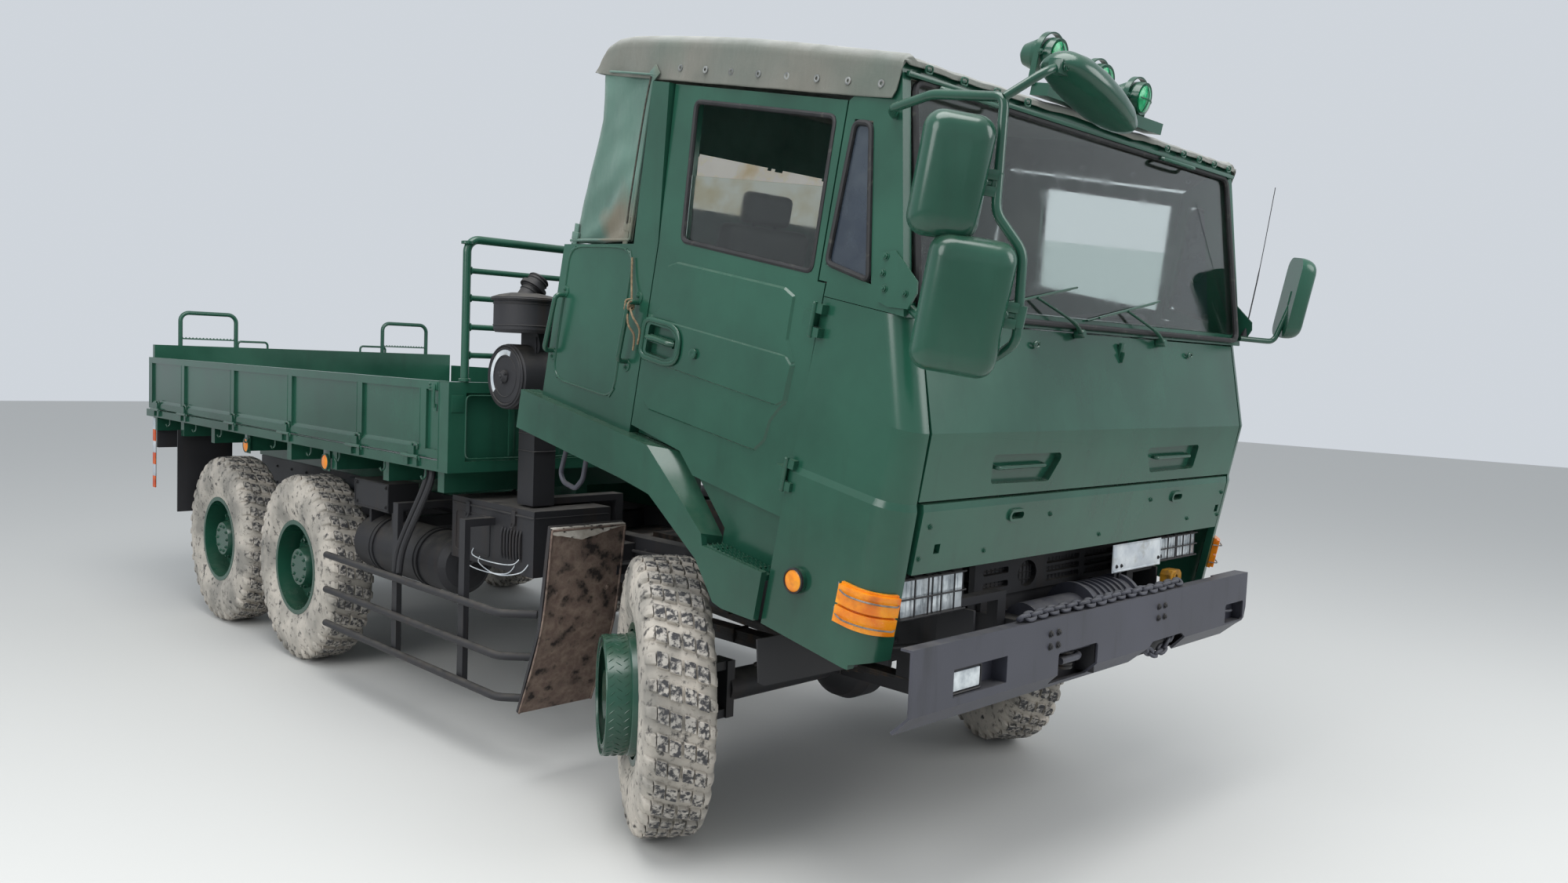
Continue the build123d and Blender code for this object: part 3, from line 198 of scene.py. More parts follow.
greenLook = {
    "deep": "#183f31", "pale": "#225140", "soot": "#16211c", "dirt": "#77786a",
    "cloud": 0.7, "runs": 0.09, "grime": 0.2, "dust": 0.22,
    "rough": (0.15, 0.27), "peel": 0.006, "peelDepth": 0.00012, "ior": 1.52,
}
greyLook = dict(greenLook, deep="#35363f", pale="#42434d", soot="#1b1a1b", dirt="#7b7870",
                dust=0.35, rough=(0.42, 0.55), grime=0.6, peelDepth=0.0002)
blackLook = dict(greenLook, deep="#17171a", pale="#222226", soot="#2b211b", dirt="#6b665d",
                 dust=0.5, rough=(0.5, 0.7), grime=0.8, peelDepth=0.0003)

greenEnamel = sprayedEnamel("green_gloss_enamel", greenLook)
greyEnamel = sprayedEnamel("grey_chassis_enamel", greyLook)
blackEnamel = sprayedEnamel("black_chassis_enamel", blackLook)


def dustyRubber(name, look):
    # vulcanised rubber under a crust of dried mud; where it is rubbed, the black comes through in flakes
    material, tree, place = newMaterial(name)
    cake = speckle(tree, place, look["flake"], 9.0, (1.0, 1.0, 1.0), 0.62)
    fine = speckle(tree, place, 0.010, 5.0)
    mud = mixColour(tree, fine, colour(look["mud"]), colour(look["pale"]))
    # large random patches of a darker grey over the mud: painted shade, darkening the tyres as if they stood in shadow
    swell = speckle(tree, place, 0.22, 3.0)
    mud = mixColour(tree, ramp(tree, swell, 0.4, 0.66, 0.0, 0.85), mud, colour(look["paintedShade"]))
    body = mixColour(tree, ramp(tree, cake, *look["bare"]), mud, colour(look["black"]))
    bump = bumpOf(tree, fine, 0.0010, bumpOf(tree, cake, 0.0020))
    shader = addNode(tree, "BsdfPrincipled", {"Base Color": body, "Roughness": 0.92, "Normal": bump})
    finishMaterial(tree, shader)
    return material


def safetyGlass():
    # laminated windscreen glass, a faint green in its thickness
    material, tree, place = newMaterial("laminated_glass")
    film = speckle(tree, place, 0.12, 6.0)
    shader = addNode(tree, "BsdfPrincipled", {"Base Color": colour("#dfe8e4"),
                                              "Roughness": ramp(tree, film, 0.4, 0.8, 0.02, 0.12),
                                              "Transmission Weight": 1.0, "IOR": 1.45})
    finishMaterial(tree, shader)
    return material


# the darker grey for each rubber's patches is painted shade laid over the mud
rubber = dustyRubber("mud_caked_tyre_rubber", {
    "flake": 0.035, "mud": "#b0a99f", "pale": "#c6bfb4", "paintedShade": "#7d7b75", "black": "#444342", "bare": (0.54, 0.66)})
rubbedRubber = dustyRubber("rubbed_tread_rubber", {
    "flake": 0.02, "mud": "#b0aaa1", "pale": "#c6c0b7", "paintedShade": "#8f8c86", "black": "#3f3f41", "bare": (0.43, 0.55)})
glass = safetyGlass()

groups = {
    "green": ["side_panels", "rear_wall", "fenders", "corner_panels", "front_panel", "lower_panel",
              "windscreen_frame", "door_right", "door_left", "side_board_right", "side_board_left",
              "tailgate", "bed_floor", "bed_bearers", "bulkhead", "mirrors", "light_bar", "grab_handles", "canopy",
              "rim_front_right", "rim_front_left", "rim_middle_right", "rim_middle_left",
              "rim_rear_right", "rim_rear_left"],
    "grey": ["bumper", "grille", "side_guards", "tanks", "exhaust", "battery_box", "air_intake", "winch",
             "winch_chain", "headlamps", "indicators", "rear_lamps"],
    "black": ["frame_rails", "powertrain", "radiator", "front_axle", "rear_axles", "springs", "mudguards",
              "cab_floor", "dashboard", "steering_wheel", "seats", "tie_rod", "knuckle_right",
              "knuckle_left"],
    "glass": ["cab_glass", "door_glass_right", "door_glass_left"],
    "rubber": [name for name in nodes if name.startswith("tyre_")],
}
finishes = {"green": greenEnamel, "grey": greyEnamel, "black": blackEnamel, "glass": glass, "rubber": rubber}
for finish, names in groups.items():
    for name in names:
        nodes[name].data.materials.clear()
        nodes[name].data.materials.append(finishes[finish])
print("finishes given")


def newPiece(name, mesh, material, body, smoothAngle=35.0):
    piece = bpy.data.objects.new(name, mesh)
    bpy.context.scene.collection.objects.link(piece)
    if not mesh.materials:
        mesh.materials.append(material)
    if smoothAngle:
        deselectAll()
        piece.select_set(True)
        bpy.context.view_layer.objects.active = piece
        bpy.ops.object.shade_smooth_by_angle(angle=math.radians(smoothAngle))
    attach(piece, body)
    return piece


def fromBmesh(name, bm, material, body, smoothAngle=35.0):
    bmesh.ops.recalc_face_normals(bm, faces=bm.faces)
    mesh = bpy.data.meshes.new(name)
    bm.to_mesh(mesh)
    bm.free()
    return newPiece(name, mesh, material, body, smoothAngle)


def sideways(direction):
    # two directions square to the given one
    helper = Vector((0, 0, 1)) if abs(direction.z) < 0.9 else Vector((1, 0, 0))
    first = direction.cross(helper).normalized()
    return first, direction.cross(first).normalized()


def turns(count, start=0.0):
    # angles spread evenly round a circle
    return [2 * math.pi * (k + start) / count for k in range(count)]


def circle(centre, first, second, count):
    # places round an ellipse with the two half axes
    return [centre + first * math.cos(a) + second * math.sin(a) for a in turns(count)]


def bridge(bm, rows, closed=True):
    # four-sided faces from each row of vertices to the next
    for one, two in zip(rows, rows[1:]):
        count = len(one)
        for k in range(count if closed else count - 1):
            ahead = (k + 1) % count
            bm.faces.new((one[k], one[ahead], two[ahead], two[k]))


def addTube(bm, points, radius, sides=8, closed=False, flat=1.0):
    # a round bar whose rings follow the points; flat squeezes its second way across
    count = len(points)
    rings = []
    before = None
    for i, point in enumerate(points):
        ahead = points[(i + 1) % count] if closed or i < count - 1 else point
        behind = points[i - 1] if closed or i > 0 else point
        along = (ahead - behind).normalized()
        if before is None:
            first, second = sideways(along)
        else:
            first = (before - along * before.dot(along)).normalized()
            second = along.cross(first)
        before = first
        size = radius[i] if isinstance(radius, (list, tuple)) else radius
        rings.append([bm.verts.new(point + first * math.cos(a) * size + second * math.sin(a) * size * flat)
                      for a in turns(sides)])
    bridge(bm, rings + rings[:1] if closed else rings)
    if not closed:
        bm.faces.new(rings[0])
        bm.faces.new(list(reversed(rings[-1])))


def smoothPath(points, steps=8, closed=False):
    # places along a rounded line through the points
    count = len(points)
    path = []
    spans = count if closed else count - 1
    for i in range(spans):
        p0 = points[(i - 1) % count] if closed or i > 0 else points[i]
        p1, p2 = points[i], points[(i + 1) % count]
        p3 = points[(i + 2) % count] if closed or i + 2 < count else p2
        for k in range(steps):
            t = k / steps
            path.append(0.5 * (2 * p1 + (p2 - p0) * t + (2 * p0 - 5 * p1 + 4 * p2 - p3) * t ** 2
                               + (3 * p1 - p0 - 3 * p2 + p3) * t ** 3))
    if not closed:
        path.append(points[-1].copy())
    return path


def addBlock(bm, low, high, place=None, bevel=0.0):
    # a box between two corners, its edges rounded over by bevel, moved by place
    made = bmesh.ops.create_cube(bm, size=1.0)["verts"]
    low, high = Vector(low), Vector(high)
    for vert in made:
        vert.co = Vector([low[k] + (vert.co[k] + 0.5) * (high[k] - low[k]) for k in range(3)])
    if bevel:
        edges = list({edge for vert in made for edge in vert.link_edges})
        made = bmesh.ops.bevel(bm, geom=edges, offset=bevel, segments=2 if bevel < 12 else 5,
                               affect="EDGES", profile=0.6)["verts"]
    if place is not None:
        for vert in made:
            vert.co = place(*vert.co)
    return made


def addTurned(bm, outline, base, axis, sides=24):
    # a solid turned about an axis: pairs of height along it and radius
    axis = axis.normalized()
    first, second = sideways(axis)
    rings = []
    for height, radius in outline:
        middle = base + axis * height
        if radius <= 0:
            rings.append([bm.verts.new(middle)])
            continue
        rings.append([bm.verts.new(middle + (first * math.cos(a) + second * math.sin(a)) * radius)
                      for a in turns(sides)])
    for one, two in zip(rings, rings[1:]):
        for k in range(sides):
            ahead = (k + 1) % sides
            if len(one) == 1 and len(two) > 1:
                bm.faces.new((one[0], two[ahead], two[k]))
            elif len(two) == 1 and len(one) > 1:
                bm.faces.new((one[k], one[ahead], two[0]))
            elif len(one) > 1:
                bm.faces.new((one[k], one[ahead], two[ahead], two[k]))


def addBolt(bm, base, axis, size=0.009, washer=True):
    # a washer, the six-sided head on it and the rounded end of its shank
    if washer:
        addTurned(bm, [(0, 0), (0, size * 1.35), (size * 0.22, size * 1.3), (size * 0.25, 0)], base, axis, 16)
    addTurned(bm, [(0, 0), (0, size), (size * 0.72, size), (size * 0.85, size * 0.86), (size * 0.85, 0)], base, axis, 6)
    addTurned(bm, [(size * 0.8, 0), (size * 0.8, size * 0.5), (size * 1.15, size * 0.45), (size * 1.2, 0)], base, axis,
              10)


def grid(name, rows, material, body, thick, smoothAngle=60.0):
    # a sheet through rows of places
    bm = bmesh.new()
    bridge(bm, [[bm.verts.new(point) for point in row] for row in rows], False)
    bmesh.ops.remove_doubles(bm, verts=bm.verts, dist=0.0004)
    piece = fromBmesh(name, bm, material, body, smoothAngle)
    thicken(piece, thick)
    return piece


def thicken(piece, thick):
    wall = piece.modifiers.new("thickness", "SOLIDIFY")
    wall.thickness = thick
    wall.offset = -1.0


# Tyres: block tread on a worn cross-ply carcass
tyre = {
    "carcass": [(0.0, 0.5205), (0.052, 0.520), (0.092, 0.517), (0.112, 0.506), (0.124, 0.488), (0.132, 0.462),
                (0.1375, 0.425), (0.1385, 0.392), (0.1365, 0.388), (0.1370, 0.360), (0.133, 0.335), (0.131, 0.332),
                (0.126, 0.308), (0.118, 0.292), (0.1175, 0.280), (0.112, 0.268), (0.100, 0.2625)],
    "sides": 120, "around": 35, "tip": 0.5408, "root": 0.512, "slope": 0.36, "wear": 0.0014, "edge": 0.0026,
    # across from and to, pitch offset, half length along the tread
    "blocks": [(-0.091, -0.052, 0.00, 0.0285), (-0.047, -0.006, 0.06, 0.0275), (0.005, 0.046, 0.0, 0.0275),
               (0.051, 0.091, 0.05, 0.0285)],
    # how an outer block runs down the shoulder: across, lowest radius, tip radius, turn, half length
    "shoulder": [(0.094, 0.509, 0.5368, 0.0, 0.022), (0.1145, 0.498, 0.527, 0.006, 0.020),
                 (0.1285, 0.476, 0.4985, 0.010, 0.015)],
    "rubbed": 0.0065, "flatHalf": 0.1,
}


def addLug(bm, sections):
    # sections: across, lowest radius, tip radius, angle of its middle, half length
    rings = []
    for across, low, tip, angle, half in sections:
        ring = []
        for radius, way, grow in ((low, -1, 1.12), (tip, -1, 1.0), (tip, 1, 1.0), (low, 1, 1.12)):
            turn = angle + way * half * grow / tip
            ring.append(bm.verts.new((across, radius * math.cos(turn), radius * math.sin(turn))))
        rings.append(ring)
    bm.faces.new(rings[0])
    bm.faces.new(list(reversed(rings[-1])))
    bridge(bm, rings)


def makeTyre(t):
    bm = bmesh.new()
    half = t["carcass"]
    outline = [(-across, radius) for across, radius in reversed(half)] + half[1:]
    rings = [[bm.verts.new((across, radius * math.cos(a), radius * math.sin(a))) for across, radius in outline]
             for a in turns(t["sides"])]
    for one, two in zip(rings, rings[1:] + rings[:1]):
        for k in range(len(outline) - 1):
            bm.faces.new((one[k], two[k], two[k + 1], one[k + 1]))
    lugs = bmesh.new()
    pitch = 2 * math.pi / t["around"]
    tip, root, lean = t["tip"], t["root"], t["slope"] / t["tip"]
    for count in range(t["around"]):
        for low, high, offset, length in t["blocks"]:
            angle = (count + offset) * pitch
            worn = t["wear"] * math.sin(count * 2.4 + low * 90)
            if abs(low) > abs(high):
                low, high = high, low
            addLug(lugs, [(low, root, tip - 0.001 + worn, angle + low * lean, length),
                          (high, root, tip - 0.0025 + worn, angle + high * lean, length)])
            if abs(high) > 0.08:
                side = 1 if high > 0 else -1
                addLug(lugs, [(side * across, bottom, top, angle + side * across * lean + turn, reach)
                              for across, bottom, top, turn, reach in t["shoulder"]])
    bmesh.ops.recalc_face_normals(lugs, faces=lugs.faces)
    bmesh.ops.bevel(lugs, geom=lugs.edges[:], offset=t["edge"], segments=1, affect="EDGES", profile=0.5)
    together = bpy.data.meshes.new("lugs")
    lugs.to_mesh(together)
    lugs.free()
    bm.from_mesh(together)
    bpy.data.meshes.remove(together)
    # the rubbed tops of the blocks are another finish than the caked rest
    for face in bm.faces:
        across, y, z = face.calc_center_median()
        if math.hypot(y, z) > tip - t["rubbed"] and abs(across) < t["flatHalf"]:
            face.material_index = 1
    return bm


axles = {
    "steer": math.radians(31.0),    # both front wheels stand turned to the right
    "height": 542.0, "kingpin": 900.0, "wheelOut": 0.150, "rearTrackHalf": 1014.0,
    "y": {"front": 60.0, "middle": 3400.0, "rear": 4620.0},
}
# body end, side, y, steered
wheels = [(axle + "_" + end, side, y, axle == "front")
          for axle, y in axles["y"].items() for end, side in (("right", -1), ("left", 1))]


def wheelMatrix(side, y, steered, spin=0.0):
    # the wheel is drawn about X with its outer side at -X
    outward = Matrix.Identity(4) if side < 0 else Matrix.Rotation(math.pi, 4, "Z")
    rolled = outward @ Matrix.Rotation(spin, 4, "X")
    if not steered:
        return Matrix.Translation(fromTruck(side * axles["rearTrackHalf"], y, axles["height"])) @ rolled
    return (Matrix.Translation(fromTruck(side * axles["kingpin"], y, axles["height"]))
            @ Matrix.Rotation(-axles["steer"], 4, "Z") @ Matrix.Translation((side * axles["wheelOut"], 0, 0)) @ rolled)


tyreForm = makeTyre(tyre)
for order, (name, side, y, steered) in enumerate(wheels):
    copied = tyreForm.copy()
    bmesh.ops.transform(copied, matrix=wheelMatrix(side, y, steered, 0.37 * order), verts=copied.verts)
    piece = fromBmesh("tyre_tread_" + name, copied, rubber, "wheel_" + name, 40.0)
    piece.data.materials.append(rubbedRubber)
    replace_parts(piece, "tyre_" + name)
tyreForm.free()
print("tyres made")


def plainFinish(name, look):
    # one body colour with its grain, wear and fine bump
    material, tree, place = newMaterial(name)
    cloud = speckle(tree, place, look["grain"], 6.0)
    body = mixColour(tree, ramp(tree, cloud, 0.38, 0.66), colour(look["dark"]), colour(look["light"]))
    if "dirt" in look:
        soil = speckle(tree, place, look["soilSize"], 8.0)
        body = mixColour(tree, ramp(tree, soil, *look["soil"]), body, colour(look["dirt"]))
    bump = bumpOf(tree, speckle(tree, place, look["bumpSize"], 4.0), look["bumpDepth"])
    shader = addNode(tree, "BsdfPrincipled", {
        "Base Color": body, "Roughness": ramp(tree, cloud, 0.3, 0.7, *look["rough"]), "Normal": bump,
        "Metallic": look.get("metal", 0.0), "Transmission Weight": look.get("clear", 0.0),
        "Subsurface Weight": look.get("glow", 0.0), "Subsurface Scale": 0.02})
    finishMaterial(tree, shader)
    return material


sealRubber = plainFinish("weathered_black_rubber", {
    "dark": "#131315", "light": "#232426", "grain": 0.05, "dirt": "#59584f", "soilSize": 0.03, "soil": (0.6, 0.85),
    "bumpSize": 0.004, "bumpDepth": 0.0003, "rough": (0.55, 0.75)})
amberLens = plainFinish("ribbed_amber_plastic", {
    "dark": "#d9700f", "light": "#f09a1c", "grain": 0.08, "dirt": "#b4651c", "soilSize": 0.05, "soil": (0.55, 0.8),
    "bumpSize": 0.006, "bumpDepth": 0.0008, "rough": (0.12, 0.25), "glow": 0.2})
clearLens = plainFinish("fluted_headlamp_glass", {
    "dark": "#a3abb0", "light": "#dfe5e8", "grain": 0.06, "dirt": "#8f8d84", "soilSize": 0.05, "soil": (0.66, 0.9),
    "bumpSize": 0.03, "bumpDepth": 0.0008, "rough": (0.06, 0.16), "metal": 0.35})
greenLens = plainFinish("signal_green_glass", {
    "dark": "#0c7a4a", "light": "#1fae72", "grain": 0.03, "bumpSize": 0.01, "bumpDepth": 0.001,
    "rough": (0.05, 0.12), "glow": 0.15})
redLens = plainFinish("ribbed_red_plastic", {
    "dark": "#8e1a16", "light": "#b82a20", "grain": 0.04, "dirt": "#7c4a3a", "soilSize": 0.02, "soil": (0.55, 0.8),
    "bumpSize": 0.006, "bumpDepth": 0.0008, "rough": (0.15, 0.3), "glow": 0.2})
orangePaint = plainFinish("faded_orange_paint", {
    "dark": "#c9481f", "light": "#dd6a33", "grain": 0.06, "dirt": "#7b5f4d", "soilSize": 0.04, "soil": (0.55, 0.8),
    "bumpSize": 0.01, "bumpDepth": 0.0003, "rough": (0.45, 0.65)})
flakedPaint = plainFinish("flaking_white_paint", {
    "dark": "#a39b90", "light": "#cdc7be", "grain": 0.05, "dirt": "#2c2523", "soilSize": 0.035, "soil": (0.56, 0.62),
    "bumpSize": 0.02, "bumpDepth": 0.001, "rough": (0.5, 0.7)})
whitePaint = plainFinish("chalky_white_paint", {
    "dark": "#b5bcc2", "light": "#d6dbdd", "grain": 0.08, "dirt": "#8f8c80", "soilSize": 0.05, "soil": (0.58, 0.85),
    "bumpSize": 0.01, "bumpDepth": 0.0003, "rough": (0.35, 0.55)})
rustySteel = plainFinish("rusty_mud_plate_steel", {
    "dark": "#6a5850", "light": "#8b7a6e", "grain": 0.03, "dirt": "#2c2523", "soilSize": 0.06, "soil": (0.5, 0.64),
    "bumpSize": 0.015, "bumpDepth": 0.0018, "rough": (0.7, 0.92), "metal": 0.15})
bareSteel = plainFinish("worn_zinc_steel", {
    "dark": "#6d706f", "light": "#9a9c99", "grain": 0.03, "dirt": "#5a4a3c", "soilSize": 0.02, "soil": (0.55, 0.8),
    "bumpSize": 0.004, "bumpDepth": 0.0002, "rough": (0.35, 0.6), "metal": 0.8})
castSteel = plainFinish("oily_cast_steel", {
    "dark": "#1c1b1b", "light": "#33302d", "grain": 0.05, "dirt": "#4b3a2d", "soilSize": 0.05, "soil": (0.5, 0.75),
    "bumpSize": 0.006, "bumpDepth": 0.0008, "rough": (0.45, 0.8), "metal": 0.3})
mirrorGlass = plainFinish("silvered_mirror_glass", {
    "dark": "#aab4b8", "light": "#c5cdd0", "grain": 0.3, "bumpSize": 0.2, "bumpDepth": 0.0001, "rough": (0.03, 0.08),
    "metal": 1.0})
blackVinyl = plainFinish("grained_black_vinyl", {
    "dark": "#151516", "light": "#232325", "grain": 0.09, "dirt": "#57544c", "soilSize": 0.08, "soil": (0.62, 0.85),
    "bumpSize": 0.003, "bumpDepth": 0.0006, "rough": (0.5, 0.7)})
hemp = plainFinish("weathered_tie_cord", {
    "dark": "#2b2c28", "light": "#4b4a40", "grain": 0.01, "bumpSize": 0.004, "bumpDepth": 0.001, "rough": (0.85, 0.95)})
brownRope = plainFinish("brown_hemp_rope", {
    "dark": "#6b5a45", "light": "#8c7a5f", "grain": 0.01, "bumpSize": 0.004, "bumpDepth": 0.001, "rough": (0.85, 0.95)})

# nodes whose finish differs from their group's
for finish, names in ((amberLens, ["indicators"]), (greenEnamel, ["cab_floor"]),
                      (blackVinyl, ["seats", "dashboard", "steering_wheel"]),
                      (castSteel, ["powertrain", "tie_rod", "knuckle_right", "knuckle_left"]),
                      (blackEnamel, ["rear_lamps", "mudguards", "headlamps", "grille", "air_intake", "side_guards",
                                     "tanks", "battery_box"])):
    for name in names:
        nodes[name].data.materials.clear()
        nodes[name].data.materials.append(finish)


def cottonCanvas(name, look):
    # waxed cotton duck: plain weave, faded on the folds, dark where rain has stood
    material, tree, place = newMaterial(name)
    cloud = speckle(tree, place, look["cloud"], 6.0)
    body = mixColour(tree, ramp(tree, cloud, 0.35, 0.65), colour(look["deep"]), colour(look["pale"]))
    patch = speckle(tree, place, 0.55, 3.0, (1.0, 1.0, 1.0), 0.45)
    body = mixColour(tree, ramp(tree, patch, *look["patchEdge"]), body, colour(look["patch"]))
    stain = speckle(tree, place, 0.12, 8.0)
    body = mixColour(tree, ramp(tree, stain, 0.55, 0.8, 0.0, 0.35), body, colour(look["stain"]))
    body = mixColour(tree, times(tree, upwards(tree), ramp(tree, stain, 0.3, 0.7, 0.25, look["dust"])), body,
                     colour(look["dirt"]))
    warp = addNode(tree, "TexWave", {"wave_type": "BANDS", "bands_direction": "DIAGONAL", "Vector": place,
                                     "Scale": 260.0, "Distortion": 1.2, "Detail": 1.0}).outputs[1]
    crease = speckle(tree, place, 0.05, 4.0, (1.0, 1.0, 0.35))
    bump = bumpOf(tree, warp, 0.0002, bumpOf(tree, crease, 0.0035))
    shader = addNode(tree, "BsdfPrincipled", {"Base Color": body, "Roughness": 0.82, "Normal": bump,
                                              "Sheen Weight": 0.25, "Sheen Roughness": 0.5})
    finishMaterial(tree, shader)
    return material


roofCanvas = cottonCanvas("faded_roof_canvas", {
    "deep": "#565d55", "pale": "#67665d", "patch": "#505f54", "patchEdge": (0.6, 0.75), "stain": "#3f4a42",
    "dirt": "#a2a39f", "cloud": 0.4, "dust": 0.85})
curtainCanvas = cottonCanvas("green_camouflage_canvas", {
    "deep": "#3b5c51", "pale": "#4f7064", "patch": "#645f4f", "patchEdge": (0.58, 0.66), "stain": "#23392f",
    "dirt": "#858377", "cloud": 0.3, "dust": 0.35})


def milkyGlowingVinyl():
    # clear roll-down vinyl gone milky and yellow with age, and given a painted glow: its emission makes it shine though
    # it is no lamp
    material, tree, place = newMaterial("milky_vinyl_window_painted_glow")
    stain = speckle(tree, place, 0.16, 6.0)
    body = mixColour(tree, ramp(tree, stain, 0.45, 0.7), colour("#e9e7e0"), colour("#d3c3a0"))
    bump = bumpOf(tree, speckle(tree, place, 0.09, 3.0), 0.004)
    shader = addNode(tree, "BsdfPrincipled", {"Base Color": body, "Roughness": 0.35, "Normal": bump,
                                              # the emission is painted light: a glow as if light came through from
                                              # behind
                                              "Emission Color": body, "Emission Strength": 0.35})
    finishMaterial(tree, shader)
    return material


vinyl = milkyGlowingVinyl()
canvasThick = 0.003

# Cab roof: one sheet over the header and the bows, with a hem all round
roof = {
    "half": 1155.0, "corner": 42.0,
    "crest": [(-712, 2790), (-706, 2806), (-690, 2814), (-500, 2821), (-250, 2829), (0, 2836), (250, 2835),
              (500, 2830), (680, 2823), (760, 2811), (812, 2787), (838, 2752), (855, 2712), (866, 2673)],
    "hemLine": [(-712, 2788), (-706, 2700), (-694, 2676), (-500, 2673), (-250, 2672), (0, 2671), (250, 2670),
                (500, 2669), (660, 2668), (735, 2668), (790, 2669), (830, 2670), (852, 2671), (866, 2672)],
}


def between(table, share):
    # the place at a share of the way along a table of pairs
    spot = min(max(share, 0.0), 1.0) * (len(table) - 1)
    low = min(int(spot), len(table) - 2)
    part = spot - low
    return [a + (b - a) * part for a, b in zip(table[low], table[low + 1])]


def wobble(x, y, z, size):
    # a slow seeded swell, from -1 to 1
    return noise.noise(Vector((x, y, z)) / size)


def makeRoof(r):
    rows = []
    stations, across, drop = 110, 96, 22
    for i in range(stations + 1):
        share = i / stations
        crestY, crestZ = between(r["crest"], share)
        hemY, hemZ = between(r["hemLine"], share)
        row = []
        half, corner = r["half"], min(r["corner"], max(crestZ - hemZ, 1.0) * 0.8)
        for side in (-1, 1):
            edge = []
            for k in range(drop + 1):
                t = k / drop
                y, z = hemY + (crestY - hemY) * t, hemZ + (crestZ - corner - hemZ) * t
                ripple = (5.0 * wobble(y, 40 * side, z * 0.6, 130.0) * (1 - t)
                          + 4.0 * math.sin(y / 41.0) * (1 - t) ** 2)
                edge.append((side * (half - 5 + ripple), y, z))
            for k in range(1, 7):
                turn = math.pi / 2 * k / 6
                edge.append((side * (half - 5 - corner + corner * math.cos(turn)), crestY,
                             crestZ - corner + corner * math.sin(turn)))
            row.append(edge)
        left, right = row
        top = []
        for k in range(1, across):
            x = -(half - 5 - corner) + 2 * (half - 5 - corner) * k / across
            bow = 1 - (x / half) ** 2
            sag = 9.0 * wobble(x, crestY, 0, 340.0) + 3.0 * wobble(x * 1.4, crestY * 0.7, 7, 90.0)
            fall = 6.0 * math.sin(crestY / 95.0) * 0.5
            top.append((x, crestY, crestZ - 7 + 4 * bow + min(sag + fall, 5.0)))
        rows.append([fromCab(*p) for p in left + top + list(reversed(right))])
    piece = grid("cab_roof_canvas", rows, roofCanvas, "cab", canvasThick)
    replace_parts(piece, "canopy")
    return piece


# Rear curtain: from one door pillar round the back to the other, tucked under the roof's hem
curtain = {
    "half": 1148.0, "corner": 70.0, "frontY": 482.0, "topZ": 2700.0,
    "rear": [(2000, 898), (2060, 893), (2170, 880), (2300, 858), (2420, 836), (2500, 826), (2580, 836), (2660, 852),
             (2700, 858)],
    "foot": [(482, 2066), (600, 2048), (740, 2027), (898, 2004)],
}


def lookUp(table, value):
    for (a, first), (b, second) in zip(table, table[1:]):
        if value <= b:
            return first + (second - first) * (value - a) / (b - a)
    return table[-1][1]


def makeCurtain(c):
    rows = []
    tall, side, bend, back = 60, 46, 10, 90
    rearFoot = c["foot"][-1][1]
    for i in range(tall + 1):
        t = i / tall
        row = []
        for k in range(2 * (side + bend) + back + 1):
            flip = k > side + bend + back // 2
            j = 2 * (side + bend) + back - k if flip else k
            sign = 1 if flip else -1
            # the curtain's foot runs down towards the back
            if j <= side:
                reach = j / side
                y = c["frontY"] + (c["rear"][0][1] - c["frontY"]) * reach
                low = lookUp(c["foot"], y)
                z = low + (c["topZ"] - low) * t
                y = c["frontY"] + (lookUp(c["rear"], z) - c["corner"] - c["frontY"]) * reach
                x = sign * c["half"]
                away = math.sin(math.pi * reach)
                fold = (1 - t) * 1.15 * math.sin((y + 1.15 * (z - 2300)) / 34.0 + 2 * wobble(y, 0, z, 160.0))
                x += sign * away * (6.0 * fold - 7.0 + 8.0 * wobble(y, sign * 90, z * 0.5, 120.0))
            elif j <= side + bend:
                z = rearFoot + (c["topZ"] - rearFoot) * t
                turn = math.pi / 2 * (j - side) / bend
                y = lookUp(c["rear"], z) - c["corner"] + c["corner"] * math.sin(turn)
                x = sign * (c["half"] - c["corner"] + c["corner"] * math.cos(turn))
                y -= 5.0 * abs(wobble(x, 30, z, 70.0)) * math.sin(turn)
            else:
                z = rearFoot + (c["topZ"] - rearFoot) * t
                share = (j - side - bend) / (back / 2)
                x = sign * (c["half"] - c["corner"]) * (1 - share)
                y = lookUp(c["rear"], z) - 3 - 5 * abs(wobble(x, 20, z * 0.6, 110.0)) - 4 * abs(wobble(x, 3, z, 45.0))
            row.append(fromCab(x, y, z))
        rows.append(row)
    bm = bmesh.new()
    bridge(bm, [[bm.verts.new(point) for point in row] for row in rows], False)
    piece = fromBmesh("cab_rear_canvas", bm, curtainCanvas, "cab", 60.0)
    piece.data.materials.append(vinyl)
    # the window faces take the vinyl, whose glow is painted light
    low, high = fromCab(-760, 880, 2210).z, fromCab(760, 850, 2560).z
    for face in piece.data.polygons:
        x, y, z = face.center
        if low < z < high and abs(x) < 0.76 and y > fromCab(0, 800, 2300).y:
            face.material_index = 1
    thicken(piece, canvasThick)
    return piece


roofSheet = makeRoof(roof)
curtainSheet = makeCurtain(curtain)
print("canvas made")


def cabPath(points):
    return [fromCab(*p) for p in points]


def truckPath(points):
    return [fromTruck(*p) for p in points]


def cabAxis(x, y, z):
    return Matrix.Rotation(tiltAngle, 3, "X") @ Vector((x, y, z))


# Windscreen: a thick black rubber round the glass; the quarter windows and the doors have their own
screen = {
    "foot": (-918.0, 2068.0), "head": (-703.0, 2741.0), "half": (1112.0, 1084.0), "corner": 45.0, "bead": 13.0,
    # y and rise of the corners of a door's window and of a quarter window
    "doorPane": [(163, 25), (232, 519), (-467, 519), (-505, 25)],
    "quarterPane": [(-566, 64), (-558, 508), (-626, 508), (-752, 40)], "sideBead": 0.0095,
}
belt = {"half": 1170.0, "z": 2088.0, "lean": math.atan2(32.0, 722.0)}
doors = ((-1, "right_door"), (1, "left_door"))


